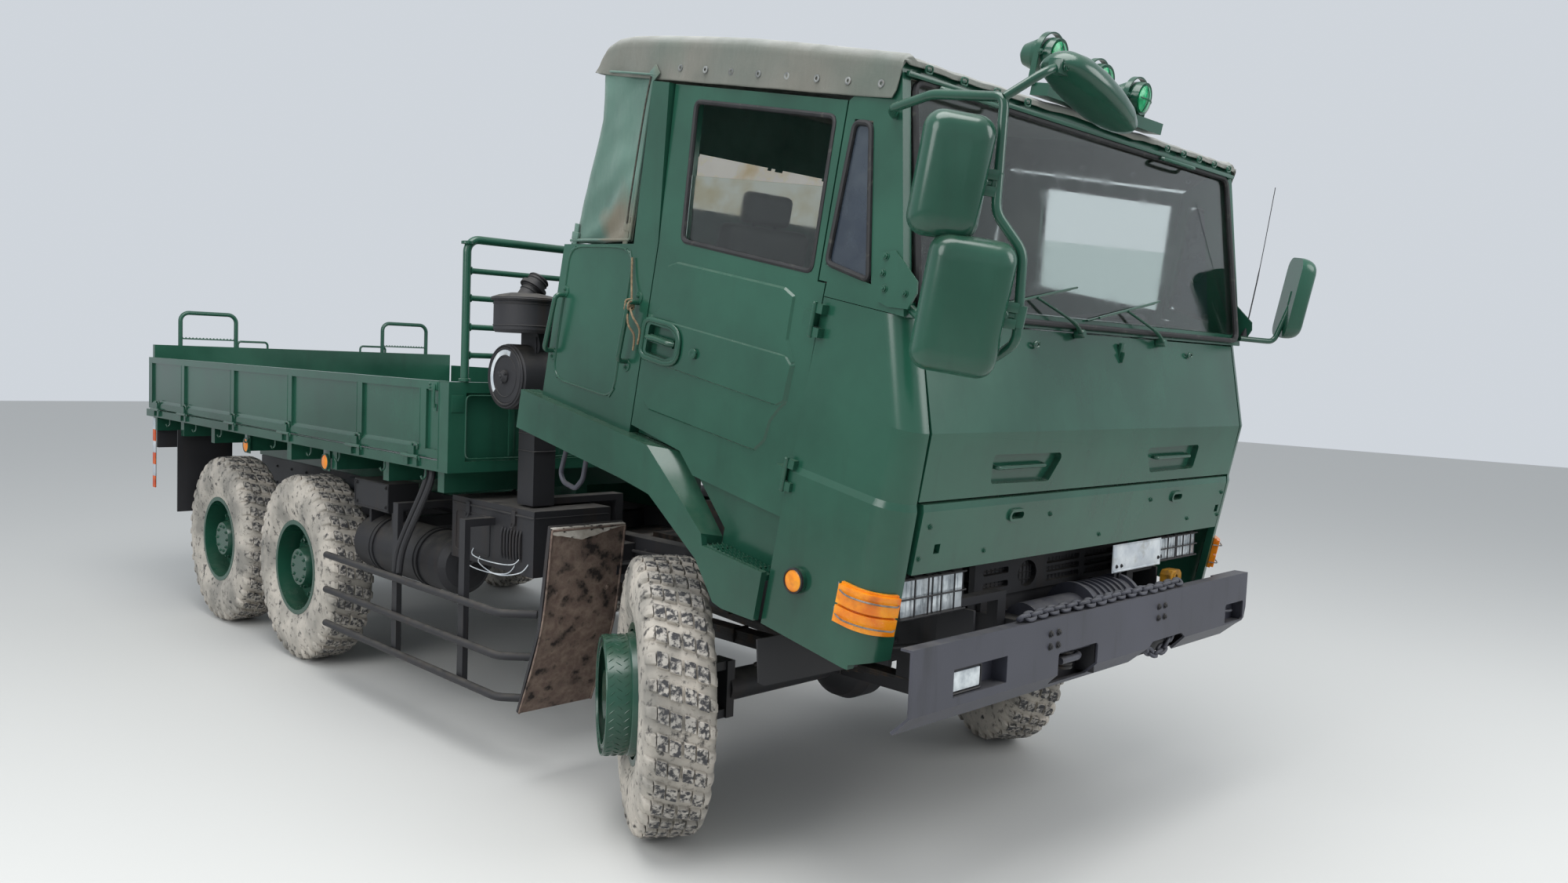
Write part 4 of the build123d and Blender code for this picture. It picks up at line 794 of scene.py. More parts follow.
def onPillar(side, y, rise, out=0.0):
    # a place on the leaning side above the belt: rise is measured up the slope from it
    x = belt["half"] - rise * math.sin(belt["lean"]) + out * math.cos(belt["lean"])
    return fromCab(side * x, y, belt["z"] + rise * math.cos(belt["lean"]) + out * math.sin(belt["lean"]))


def roundedLoop(corners, radius, steps=5, closed=True):
    # a line through the corners, each one rounded off
    path = []
    count = len(corners)
    for i, corner in enumerate(corners):
        if not closed and i in (0, count - 1):
            path.append(corner)
            continue
        before, after = corners[i - 1], corners[(i + 1) % count]
        a = corner + (before - corner).normalized() * radius
        b = corner + (after - corner).normalized() * radius
        for k in range(steps + 1):
            t = k / steps
            path.append(a * (1 - t) ** 2 + corner * 2 * t * (1 - t) + b * t ** 2)
    return path


def addFrame(bm, axis, level, low, high, corner, steps, radius):
    # a thin bar round a rectangle that lies square to one of the truck's axes
    (a, b), (c, d) = low, high
    if axis == "x":
        loop = [(level, a, b), (level, c, b), (level, c, d), (level, a, d)]
    elif axis == "y":
        loop = [(a, level, b), (c, level, b), (c, level, d), (a, level, d)]
    else:
        loop = [(a, b, level), (a, d, level), (c, d, level), (c, b, level)]
    addTube(bm, roundedLoop(truckPath(loop), corner, steps), radius, 6, True)


def makeSeals(s):
    bm = bmesh.new()
    (footY, footZ), (headY, headZ) = s["foot"], s["head"]
    wide, narrow = s["half"]
    loop = cabPath([(-wide, footY - 6, footZ), (wide, footY - 6, footZ), (narrow, headY - 6, headZ),
                    (-narrow, headY - 6, headZ)])
    addTube(bm, roundedLoop(loop, s["corner"] * mm), s["bead"] * mm, 8, True, 0.8)
    fromBmesh("windscreen_rubber", bm, sealRubber, "cab")
    for side, door in doors:
        for name, body, pane, out, corner in (("door_window_rubber_", door, s["doorPane"], -4, 0.028),
                                              ("quarter_rubber_", "cab", s["quarterPane"], 1, 0.024)):
            bead = bmesh.new()
            loop = [onPillar(side, y, rise, out) for y, rise in pane]
            addTube(bead, roundedLoop(loop, corner), s["sideBead"], 8, True)
            fromBmesh(name + door, bead, sealRubber, body)
        pane = bmesh.new()
        for out in (-3, -9):
            pane.faces.new([pane.verts.new(onPillar(side, y, rise, out)) for y, rise in s["quarterPane"]])
        fromBmesh("quarter_pane_" + door, pane, tintedGlass, "cab", 0)


def darkGlass():
    # tinted side glass, its tone and gloss varying in cloudy patches
    material, tree, place = newMaterial("tinted_side_glass")
    film = speckle(tree, place, 0.15, 6.0)
    body = mixColour(tree, ramp(tree, film, 0.4, 0.7), colour("#39424e"), colour("#4b545c"))
    shader = addNode(tree, "BsdfPrincipled", {"Base Color": body, "Roughness": ramp(tree, film, 0.4, 0.8, 0.05, 0.16),
                                              "Transmission Weight": 0.35, "IOR": 1.45})
    finishMaterial(tree, shader)
    return material


tintedGlass = darkGlass()
makeSeals(screen)

# Wipers: two arms with their blades, parked low on the glass
wipers = [  # x and z of the pivot and of the arm's tip, length of the blade
    {"pivot": (-204, 2041), "tip": (-470, 2150), "blade": 560},
    {"pivot": (408, 2032), "tip": (150, 2140), "blade": 560},
]
screenLine = ((-918.0, 2046.0), (-700.0, 2745.0))     # y and z at the foot and the head of the glass


def onScreen(x, z, out):
    # a place on the glass at a height, out in front of it
    (footY, footZ), (headY, headZ) = screenLine
    return x, footY + (headY - footY) * (z - footZ) / (headZ - footZ) - out, z


def makeWipers(table):
    bm = bmesh.new()
    for w in table:
        px, pz = w["pivot"]
        tx, tz = w["tip"]
        addTurned(bm, [(0, 0), (0, 0.018), (0.03, 0.016), (0.036, 0.012), (0.036, 0)], fromCab(px, -925, pz),
                  cabAxis(0, -1, 0.2), 14)
        arm = [fromCab(px, -948, pz), fromCab(px + (tx - px) * 0.3, -952, pz + (tz - pz) * 0.4),
               fromCab(*onScreen(tx, tz, 22))]
        addTube(bm, smoothPath(arm, 6), [0.009] * 7 + [0.0065] * 6, 8, False, 0.6)
        run = Vector((w["blade"] / 2, 0, w["blade"] * 0.09))
        ends = [fromCab(*onScreen(tx - run.x, tz - run.z, 8)), fromCab(*onScreen(tx + run.x, tz + run.z, 8))]
        addTube(bm, [ends[0], ends[1]], 0.0065, 6, False, 0.6)
        bow = [ends[0].lerp(ends[1], t) + (cabAxis(0, -1, 0.3).normalized() * 0.012) for t in (0.12, 0.5, 0.88)]
        addTube(bm, smoothPath(bow, 4), 0.005, 6)
        addTube(bm, [ends[0].lerp(ends[1], 0.5), fromCab(*onScreen(tx, tz, 22))], 0.006, 6)
    # catch in the middle and the two lifting rings on the front
    for x, z in ((-476, 1996), (661, 1995)):
        ring = [fromCab(x + 17 * math.cos(a), -948, z + 10 * math.sin(a)) for a in turns(14)]
        addTube(bm, ring, 0.0042, 6, True)
    addBlock(bm, (96, -948, 1962), (122, -934, 2022), fromCab, 3)
    addBlock(bm, (104, -962, 1950), (114, -944, 1990), fromCab, 3)
    fromBmesh("wipers_and_catch", bm, greenEnamel, "cab")


makeWipers(wipers)

# Header: the rail over the windscreen, its tie clips and two grab bars
header = {"clips": [-1040, -860, -680, -500, 500, 640, 780, 920, 1060], "bars": [(-960, -700), (470, 700)]}


def makeHeader(h):
    bm = bmesh.new()
    addBlock(bm, (-1128, -724, 2748), (1128, -708, 2764), fromCab, 4)
    for x in h["clips"]:
        clip = cabPath([(x - 16, -722, 2772), (x + 16, -722, 2772), (x + 16, -722, 2794), (x - 16, -722, 2794)])
        addTube(bm, roundedLoop(clip, 0.008, 3), 0.0035, 6, True)
        addBlock(bm, (x - 7, -722, 2778), (x + 7, -712, 2788), fromCab, 2)
    for low, high in h["bars"]:
        bar = cabPath([(low, -716, 2740), (low, -746, 2738), (high, -746, 2738), (high, -716, 2740)])
        addTube(bm, smoothPath(bar, 5), 0.0075, 8)
    fromBmesh("header_clips_and_bars", bm, greenEnamel, "cab")


makeHeader(header)

# Lamps on the roof: green glass, two crossed wires each
roofLamps = {
    "lamps": [(-365, 2962, 3), (-43, 2940, -2), (253, 2932, 4)],    # x, z, turn in degrees
    "lens": [(-0.004, 0), (-0.004, 0.049), (0.004, 0.049), (0.010, 0.036), (0.0135, 0.018), (0.0145, 0)],
    "bow": [(-50, -714), (-25, -728), (0, -732), (25, -728), (50, -714)],
}


def makeRoofLamps(r):
    lenses, wires = bmesh.new(), bmesh.new()
    for x, z, turn in r["lamps"]:
        addTurned(lenses, r["lens"], fromCab(x, -711, z), cabAxis(math.sin(math.radians(turn)), -1, 0), 28)
        for a, b in ((1, 0), (0, 1)):
            bow = [fromCab(x + a * reach, y, z + b * reach) for reach, y in r["bow"]]
            addTube(wires, smoothPath(bow, 3), 0.0022, 6)
        for side in (-1, 1):
            addBolt(wires, fromCab(x + side * 80, -690, z), cabAxis(side, 0, 0), 0.008)
    fromBmesh("roof_lamp_glasses", lenses, greenLens, "cab")
    fromBmesh("roof_lamp_wires", wires, greenEnamel, "cab")


makeRoofLamps(roofLamps)

# Mirrors: silvered faces and their clamps
mirrorFaces = [
    {"centre": (-1375, -1149, 2463), "size": (190, 330), "turn": -46, "clamp": (-1281, -1225, 2463)},
    {"centre": (-1328, -1240, 2130), "size": (235, 370), "turn": -46, "clamp": (-1221, -1348, 2130)},
    {"centre": (1352, -1012, 2290), "size": (190, 350), "turn": 40, "clamp": (1330, -1030, 2290)},
]


def mirrorAxes(m):
    # its middle, the way across its glass and the way out of its back
    turn = math.radians(m["turn"])
    return (Vector(m["centre"]), Vector((math.cos(turn), math.sin(turn), 0)),
            Vector((math.sin(turn), -math.cos(turn), 0)))


def makeMirrors(table):
    faces, clamps = bmesh.new(), bmesh.new()
    for m in table:
        centre, across, out = mirrorAxes(m)
        width, height = m["size"]
        ring = []
        for cx, cz in ((-1, -1), (1, -1), (1, 1), (-1, 1)):
            for k in range(7):
                a = math.atan2(cz, cx) - math.pi / 4 + math.pi / 2 * k / 6
                ring.append((cx * (width / 2 - 50) + 42 * math.cos(a), cz * (height / 2 - 50) + 42 * math.sin(a)))
        points = [fromCab(*(centre + across * a - out * 16.6 + Vector((0, 0, b)))) for a, b in ring]
        faces.faces.new([faces.verts.new(p) for p in points])
        middle = centre.lerp(Vector(m["clamp"]), 0.72)
        for level in (-1, 1):
            addBlock(clamps, (-38, -16, level * 22 - 14), (38, 16, level * 22 + 14),
                     lambda x, y, z: fromCab(*(middle + across * x + out * (y + 6) + Vector((0, 0, z)))), 4)
        addBolt(clamps, fromCab(*(middle + out * 22)), cabAxis(*out), 0.011)
    fromBmesh("mirror_glasses", faces, mirrorGlass, "cab", 0)
    fromBmesh("mirror_clamps", clamps, greenEnamel, "cab")


makeMirrors(mirrorFaces)

# Front: headlamp glasses, indicator guards, reflectors, bare number plate, bolts
lampGlass = [  # x low, x high, z low, z high
    (-1050, -893, 1062, 1180), (-884, -727, 1062, 1180), (652, 805, 1092, 1180), (815, 968, 1092, 1180)]


def makeHeadlamps(table):
    bm = bmesh.new()
    for low, high, bottom, top in table:
        addBlock(bm, (low, -1052, bottom), (high, -1046, top), fromTruck, 2.5)
        for k in range(1, 6):
            x = low + (high - low) * k / 6
            addBlock(bm, (x - 1.2, -1053.4, bottom + 6), (x + 1.2, -1051, top - 6), fromTruck, 0.5)
    addBlock(bm, (-950, -1199, 842), (-810, -1191, 904), fromTruck, 2.5)
    fromBmesh("headlamp_glasses", bm, clearLens, "chassis")
    rims = bmesh.new()
    for low, high, bottom, top in table + [(-956, -804, 836, 910)]:
        depth = -1049 if bottom > 1000 else -1195
        addFrame(rims, "y", depth, (low - 3, bottom - 3), (high + 3, top + 3), 0.009, 3, 0.0045)
    fromBmesh("headlamp_rims", rims, blackEnamel, "chassis")


makeHeadlamps(lampGlass)

# Corners: the indicators' wire guards, and a round reflector on each side
cornerGuard = {"middle": (-1078.4, -948.6), "out": 150.0, "levels": [1093, 1174]}


def makeCornerGuards(g):
    wires, ambers, rings = bmesh.new(), bmesh.new(), bmesh.new()
    mx, my = g["middle"]
    for side in (-1, 1):
        def spot(angle, radius, z):
            x = mx - radius * math.cos(math.radians(angle))
            y = my - radius * math.sin(math.radians(angle))
            return fromCab(-side * x, y, z)
        for z in g["levels"]:
            path = [fromCab(side * 1192, -886, z + 16), spot(-16, g["out"] - 12, z + 4)]
            path += [spot(a, g["out"] - 6, z) for a in range(0, 80, 10)] + [fromCab(side * 1094, -1062, z)]
            addTube(wires, smoothPath(path, 3), 0.0028, 6)
        base = fromCab(side * 1203.5, -709, 1131)
        axis = cabAxis(side, 0, 0)
        addTurned(ambers, [(-0.002, 0), (-0.002, 0.037), (0.006, 0.036), (0.009, 0.03), (0.010, 0)], base, axis, 32)
        addTurned(rings, [(-0.004, 0.036), (-0.004, 0.0435), (0.008, 0.0425), (0.010, 0.038), (0.006, 0.036)], base,
                  axis, 32)
    fromBmesh("indicator_guard_wires", wires, bareSteel, "cab")
    fromBmesh("corner_reflectors", ambers, amberLens, "cab")
    fromBmesh("corner_reflector_rings", rings, sealRubber, "cab")


makeCornerGuards(cornerGuard)

# The number plate is bare; it stands on the winch and the left lamp, clear of the tilting panel
plate = {"low": (229, -1074, 1079), "high": (622, -1071, 1191), "corner": 0.012}


def makePlate(p):
    bm = bmesh.new()
    addBlock(bm, p["low"], p["high"], fromTruck, 1.2)
    x0, y, z0 = p["low"]
    x1, back, z1 = p["high"]
    addFrame(bm, "y", y, (x0 + 5, z0 + 5), (x1 - 5, z1 - 5), p["corner"], 4, 0.0022)
    fromBmesh("blank_number_plate", bm, whitePaint, "chassis")
    stays = bmesh.new()
    for x in (262, 300):
        addBlock(stays, (x - 9, back, 1052), (x + 9, back + 6, z0 + 42), fromTruck, 1.5)
        addBolt(stays, fromTruck(x, y, z0 + 24), Vector((0, -1, 0)), 0.006)
    addBlock(stays, (x1 - 30, back, 1102), (645, -1038, 1116), fromTruck, 2)
    addBolt(stays, fromTruck(x1 - 20, y, 1110), Vector((0, -1, 0)), 0.006)
    fromBmesh("number_plate_stays", stays, blackEnamel, "chassis")


makePlate(plate)

frontBolts = [(-1015, 1418), (-327, 1415), (402, 1425), (-694, 1312), (-1042, 1315), (52, 1309), (766, 1321),
              (1052, 1319), (1040, 1422)]
hingePlate = {
    "outline": [(-776, 2219), (-836, 2234), (-945, 2158), (-953, 2124), (-932, 2072), (-856, 2064), (-809, 2073)],
    "bolts": [(-806, 2211), (-807, 2160), (-827, 2115), (-910, 2115)],
}


def makeFrontBolts(bolts, hinge):
    bm = bmesh.new()
    for x, z in bolts:
        addBolt(bm, fromCab(x, -1061.5, z), cabAxis(0, -1, 0), 0.0075)
    fromBmesh("front_bolts", bm, greenEnamel, "cab")
    plates = bmesh.new()
    for side in (-1, 1):
        rings = [[plates.verts.new(onPillar(side, y, z - belt["z"], out)) for y, z in hinge["outline"]]
                 for out in (1, 8)]
        plates.faces.new(rings[1])
        plates.faces.new(list(reversed(rings[0])))
        bridge(plates, rings)
        for y, z in hinge["bolts"]:
            addBolt(plates, onPillar(side, y, z - belt["z"], 8), cabAxis(side, 0, 0.04), 0.010)
    fromBmesh("pillar_plates", plates, greenEnamel, "cab")


makeFrontBolts(frontBolts, hingePlate)
print("front fittings made")


# Canvas fittings: eyelets along the hem, the tie cord, diamond keeper, straps and the piping
canvasTrim = {
    "eyelets": [-640, -500, -360, -220, -80, 60, 200, 340], "z": 2716.0, "half": 1157.5,
    "eyelet": [(-0.002, 0.0052), (-0.002, 0.0135), (0.0035, 0.0125), (0.0045, 0.0085), (0.0035, 0.0052)],
    "straps": [(512, 2122, 95), (842, 2040, 120)],      # y, z, length below z
    "lacing": [(1163, 494, 2676), (1165, 500, 2600), (1166, 503, 2480), (1166, 506, 2340), (1165, 509, 2220),
               (1163, 512, 2128)],
}


def makeCanvasTrim(c):
    rings, straps = bmesh.new(), bmesh.new()
    for side in (-1, 1):
        for y in c["eyelets"]:
            addTurned(rings, c["eyelet"], fromCab(side * (c["half"] - 5), y, c["z"]), cabAxis(side, 0, 0), 20)
        x = side * 1156
        # hem cord along the roof's edge, over the rear quarter
        hem = cabPath([(x, 470, 2684), (x + side * 2, 600, 2683), (x, 740, 2682), (x - side * 30, 850, 2684)])
        addTube(straps, smoothPath(hem, 6), 0.0045, 8)
        # diamond keeper where the cord turns down
        addBlock(straps, (-3, -22, -22), (4, 22, 22),
                 lambda a, b, c: fromCab(x + a * side, 482 + (b - c) * 0.72, 2690 + (b + c) * 0.72), 3)
        inner, outer = (4, 3) if side > 0 else (3, 4)
        for y, z, tall in c["straps"]:
            addBlock(straps, (x - inner, y - 14, z - tall), (x + outer, y + 14, z + tall * 0.35), fromCab, 2)
            addBlock(straps, (x - 6, y - 21, z - 22), (x + 6, y + 21, z + 8), fromCab, 3)
        # piping where the curtain tucks in at the belt, and down the pillar
        foot = cabPath([(x, 488, 2070), (x, 600, 2052), (x, 740, 2031), (x, 872, 2010)])
        addTube(straps, smoothPath(foot, 6), 0.006, 8)
        addTube(straps, smoothPath(cabPath([(x, 486, 2668), (x, 487, 2400), (x, 488, 2070)]), 6), 0.0055, 8)
    fromBmesh("canvas_eyelets", rings, bareSteel, "cab")
    fromBmesh("canvas_straps", straps, curtainCanvas, "cab")


def makeLacing(name, points):
    curve = bpy.data.curves.new("lacing", "CURVE")
    curve.dimensions = "3D"
    curve.bevel_depth = 0.0035
    curve.bevel_resolution = 3
    curve.use_fill_caps = True
    spline = curve.splines.new("NURBS")
    spline.points.add(len(points) - 1)
    for spot, point in zip(spline.points, points):
        spot.co = (*point, 1.0)
    spline.order_u = 3
    spline.use_endpoint_u = True
    lacing = bpy.data.objects.new(name, curve)
    bpy.context.scene.collection.objects.link(lacing)
    curve.materials.append(hemp)
    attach(lacing, "cab")


makeCanvasTrim(canvasTrim)
for side, name in ((-1, "curtain_lacing_right"), (1, "curtain_lacing_left")):
    makeLacing(name, cabPath([(side * x, y, z) for x, y, z in canvasTrim["lacing"]]))

# Steps ahead of the front wheels: seven saw-toothed bars on three flat ones over the tread plate
step = {"x": (1078, 1212), "y": (-560, -282), "z": 1101.0, "bars": 7, "tooth": 11.0, "crossBars": (-520, -420, -320)}


def makeSteps(s):
    bm = bmesh.new()
    near, far = s["x"]
    start, end = s["y"]
    count = int((end - start) / s["tooth"])
    for side in (-1, 1):
        for bar in range(s["bars"]):
            x = side * (near + (far - near) * bar / (s["bars"] - 1))
            low, high = [], []
            for k in range(count + 1):
                y = start + k * s["tooth"]
                top = s["z"] + (13 if k % 2 else 5)
                for group, z in ((low, s["z"] - 1), (high, top)):
                    group.append([bm.verts.new(fromCab(x + dx, y, z)) for dx in (-1.6, 1.6)])
            for k in range(count):
                bm.faces.new((low[k][0], low[k + 1][0], high[k + 1][0], high[k][0]))
                bm.faces.new((low[k][1], high[k][1], high[k + 1][1], low[k + 1][1]))
                bm.faces.new((high[k][0], high[k + 1][0], high[k + 1][1], high[k][1]))
            for k in (0, count):
                bm.faces.new((low[k][0], high[k][0], high[k][1], low[k][1]))
        middle, half = side * (near + far) / 2, (far - near) / 2
        for y in s["crossBars"]:
            addBlock(bm, (middle - half, y - 2, s["z"]), (middle + half, y + 2, s["z"] + 6), fromCab)
    fromBmesh("step_gratings", bm, greenEnamel, "cab", 20)


makeSteps(step)

# Wheel fittings: nuts, hand holes drawn as flat black ovals (painted shade in place of openings) with their lips,
# chequer on the step rings
wheelTrim = {
    "front": {"nuts": (10, 0.168, -0.158), "holes": (8, -0.1475, 0.2225), "ring": (0.230, -0.235)},
    "rear": {"nuts": (10, 0.168, -0.004), "holes": (5, 0.0135, 0.2205), "hub": (10, 0.082, -0.095)},
    # height and radius: a nut on its collar, the end of its stud, a drain hole
    "nut": [(0, 0), (0, 0.021), (0.004, 0.020), (0.004, 0.0165), (0.022, 0.0165), (0.025, 0.013), (0.025, 0)],
    "stud": [(0.02, 0.009), (0.036, 0.009), (0.038, 0.006), (0.038, 0)],
    "drain": [(-0.0005, 0), (-0.0005, 0.007), (0.0015, 0.007), (0.0015, 0)],
    "chequers": 44, "drains": 30,
}
outer = Vector((-1, 0, 0))      # the wheel's outer side, before the wheel is placed


def onWheel(x, radius, turn):
    return Vector((x, radius * math.cos(turn), radius * math.sin(turn)))


def addOval(bm, centre, first, second):
    bm.faces.new([bm.verts.new(p) for p in circle(centre, first, second, 20)])


def addStepRing(chequer, holes, t):
    # three rows of leaning chequers, a rolled lip, and a flat ring with drain holes inside it; the drain holes are
    # small black discs, painted shade in place of openings
    radius, start = t["front"]["ring"]
    for k in range(t["chequers"]):
        for row in range(3):
            turn = 2 * math.pi * (k + 0.5 * (row % 2)) / t["chequers"]
            lean = 0.034 if row % 2 else -0.034
            x = start + 0.017 + row * 0.028
            ends = [onWheel(x + way * 0.010, radius + 0.0004, turn + way * lean) for way in (-1, 1)]
            addTube(chequer, [ends[0], ends[0].lerp(ends[1], 0.5), ends[1]], [0.0009, 0.0022, 0.0009], 5)
    # each drain hole is a small black disc: painted shade where an opening would be
    for turn in turns(t["drains"]):
        addTurned(holes, t["drain"], onWheel(start + 0.001, radius - 0.020, turn), outer, 10)
    addTube(chequer, [onWheel(start, radius - 0.004, a) for a in turns(72)], 0.0045, 8, True)
    flat = [(start + 0.001, radius - 0.006), (start + 0.001, radius - 0.040), (start + 0.005, radius - 0.040),
            (start + 0.005, radius - 0.006)]
    rings = [[chequer.verts.new(onWheel(x, r, a)) for x, r in flat] for a in turns(72)]
    bridge(chequer, rings + rings[:1])
    addTube(chequer, [onWheel(start + 0.002, radius - 0.040, a) for a in turns(60)], 0.004, 6, True)


def makeWheelTrim(t):
    for name, side, y, steered in wheels:
        nuts, holes, chequer = bmesh.new(), bmesh.new(), bmesh.new()
        kind = t["front" if steered else "rear"]
        count, radius, across = kind["nuts"]
        for turn in turns(count, 0.5):
            spot = onWheel(across, radius, turn)
            addTurned(nuts, t["nut"], spot, outer, 6)
            addTurned(nuts, t["stud"], spot, outer, 10)
        if not steered:
            count, radius, across = kind["hub"]
            for turn in turns(count):
                addBolt(nuts, onWheel(across, radius, turn), outer, 0.009)
        # each hand hole is a flat black oval: painted shade in place of the opening; on the front wheels a slightly
        # larger green oval round it makes its lip
        count, x, radius = kind["holes"]
        for turn in turns(count, 0.0 if steered else 0.5):
            out, along = onWheel(0, 1, turn), Vector((0, -math.sin(turn), math.cos(turn)))
            base = Vector((x, 0, 0)) + out * radius
            if steered:
                axis = (Vector((-0.55, 0, 0)) + out * 0.84).normalized()
                tall = axis.cross(along)
                for mesh, size, lift in ((holes, 1.0, 0.0022), (nuts, 1.13, 0.0010)):
                    addOval(mesh, base + axis * lift, along * 0.034 * size, tall * 0.013 * size)
            else:
                slope, face = Vector((0.65, 0, 0)) + out * 0.76, Vector((-0.76, 0, 0)) + out * 0.65
                addOval(holes, base + face * 0.0015, along * 0.036, slope * 0.0135)
        if steered:
            addStepRing(chequer, holes, t)
        # the hand holes take the black rubber finish as painted shade
        for label, mesh, material, slotName in (("wheel_nuts_", nuts, greenEnamel, "green_paint"),
                                                ("hand_hole_shades_", holes, sealRubber, "black_paint"),
                                                ("step_ring_", chequer, greenEnamel, "green_paint")):
            if not mesh.faces:
                mesh.free()
                continue
            bmesh.ops.transform(mesh, matrix=wheelMatrix(side, y, steered), verts=mesh.verts)
            fromBmesh(label + name, mesh, material, "wheel_" + name)


makeWheelTrim(wheelTrim)

# Mud plates behind the front wheels: rusty, with a rolled edge and a torn white lip
mudPlate = {"middle": 1010, "half": 190, "line": [(677, 1121), (737, 700), (892, 304)], "bolt": (716, 850)}


def makeMudPlates(m):
    bm = bmesh.new()
    line = m["line"]
    for side in (-1, 1):
        low, high = side * m["middle"] - m["half"], side * m["middle"] + m["half"]
        rows = []
        for k in range(25):
            y, z = between(line, k / 24)
            row = []
            for j in range(13):
                x = low + 3 + (high - low - 6) * j / 12
                row.append(bm.verts.new(fromTruck(x, y - 2 - 2.5 * abs(wobble(x, y, z, 90.0)), z)))
            rows.append(row)
        bridge(bm, rows, False)
        for x in (low + 4, high - 4):
            addTube(bm, smoothPath(truckPath([(x, y - 3, z) for y, z in line]), 8), 0.005, 8)
        addTube(bm, truckPath([(low + 4, 675, 1122), (high - 4, 675, 1122)]), 0.006, 8)
        for x in (low + 60, high - 60):
            addBolt(bm, fromTruck(x, *m["bolt"]), Vector((0, -1, 0.1)), 0.011)
    fromBmesh("mud_plate_faces", bm, rustySteel, "chassis")
    lips = bmesh.new()
    for side in (-1, 1):
        low, high = side * m["middle"] - m["half"] + 4, side * m["middle"] + m["half"] - 4
        rows = []
        for k in range(19):
            x = low + (high - low) * k / 18
            reach = max(52 - 50 * abs(k - 7) / 11 + 5 * wobble(x, 0, 0, 40.0), 8)
            fold = [(706, 1134), (674, 1131), (668, 1128 - reach)]
            rows.append([lips.verts.new(fromTruck(x, y, z + 2 * wobble(x, y, 3, 35.0))) for y, z in fold])
        bridge(lips, rows, False)
    fromBmesh("mud_plate_lips", lips, flakedPaint, "chassis", 60)


makeMudPlates(mudPlate)
print("canvas fittings, steps and wheels made")


# Bed: rail caps, hinge pins with their handles, corner latches, planks, reflectors and edge markers
bed = {
    "half": 1208.0, "rearY": 5840.0,
    "pins": [1850, 2460, 3350, 4180, 5050, 5600], "ribs": [1760, 2430, 3312, 4186, 5082, 5750],
    "hooks": [1760, 2180, 2700, 3060, 3560, 3980, 4420, 4880, 5400],
    "postX": 1118, "postCollars": [1704, 2340], "rackBars": [1825, 1956, 2090, 2216],
    "planks": 13, "plankStep": 183.3, "screws": [1720, 2800, 3900, 5000, 5700],
    "gateRibs": [-980, -590, -200, 200, 590, 980], "hoops": [(-989, -599), (562, 950)],
    "reflectors": [2880, 4010], "marker": {"y": 5770, "z": 760, "stripes": 6, "tall": 84},
}


def makeBoardFittings(b):
    for side, body in ((-1, "right_board"), (1, "left_board")):
        bm = bmesh.new()

        def out(a, y, z):
            return fromTruck(side * (b["half"] + a), y, z)
        # the ribs' flanges and the sloped ledge between them
        for y in b["ribs"]:
            for dy in (-30, 30):
                addBlock(bm, (-1.5, y + dy - 2, 1376), (1.5, y + dy + 2, 1662), out, 1)
        for low, high in zip(b["ribs"], b["ribs"][1:]):
            ledge = ((-11.8, 1398), (-1.5, 1380), (-1.5, 1376))
            bridge(bm, [[bm.verts.new(out(a, y, z)) for a, z in ledge] for y in (low + 31, high - 31)], False)
        # drop handles of the hinge pins
        for y in b["pins"]:
            drop = [out(2, y - 46, 1366), out(7, y - 50, 1392), out(7, y - 10, 1396), out(7, y - 6, 1372)]
            addTube(bm, smoothPath(drop, 5), 0.0055, 6)
        # latch at the front top corner
        addBlock(bm, (-2, 1622, 1655), (4, 1702, 1694), out, 2)
        lever = [out(6, 1640, 1684), out(11, 1636, 1650), out(11, 1636, 1600), out(6, 1640, 1576)]
        addTube(bm, smoothPath(lever, 5), 0.006, 8)
        addBlock(bm, (-2, 1626, 1560), (4, 1656, 1594), out, 2)
        for z in (1668, 1684):
            addBolt(bm, out(4, 1690, z), Vector((side, 0, 0)), 0.006)
        fromBmesh("board_fittings_" + body, bm, greenEnamel, body)


def makePinsAndHooks(b):
    bm = bmesh.new()
    for side in (-1, 1):
        x = side * (b["half"] + 17)
        for y in b["pins"]:
            addTube(bm, truckPath([(x, y - 84, 1334), (x, y + 84, 1334)]), 0.0085, 10)
            tail = truckPath([(x, y - 84, 1334), (x + side * 2, y - 96, 1334), (x + side * 2, y - 100, 1318)])
            addTube(bm, smoothPath(tail, 4), 0.004, 6)
        # hooks for the lashing along the sill
        for y in b["hooks"]:
            hook = [(-20, 1280), (-20, 1244), (-6, 1228), (4, 1244)]
            addTube(bm, smoothPath(truckPath([(side * (b["half"] + a), y, z) for a, z in hook]), 4), 0.005, 6)
    fromBmesh("hinge_pins_and_hooks", bm, greenEnamel, "chassis")


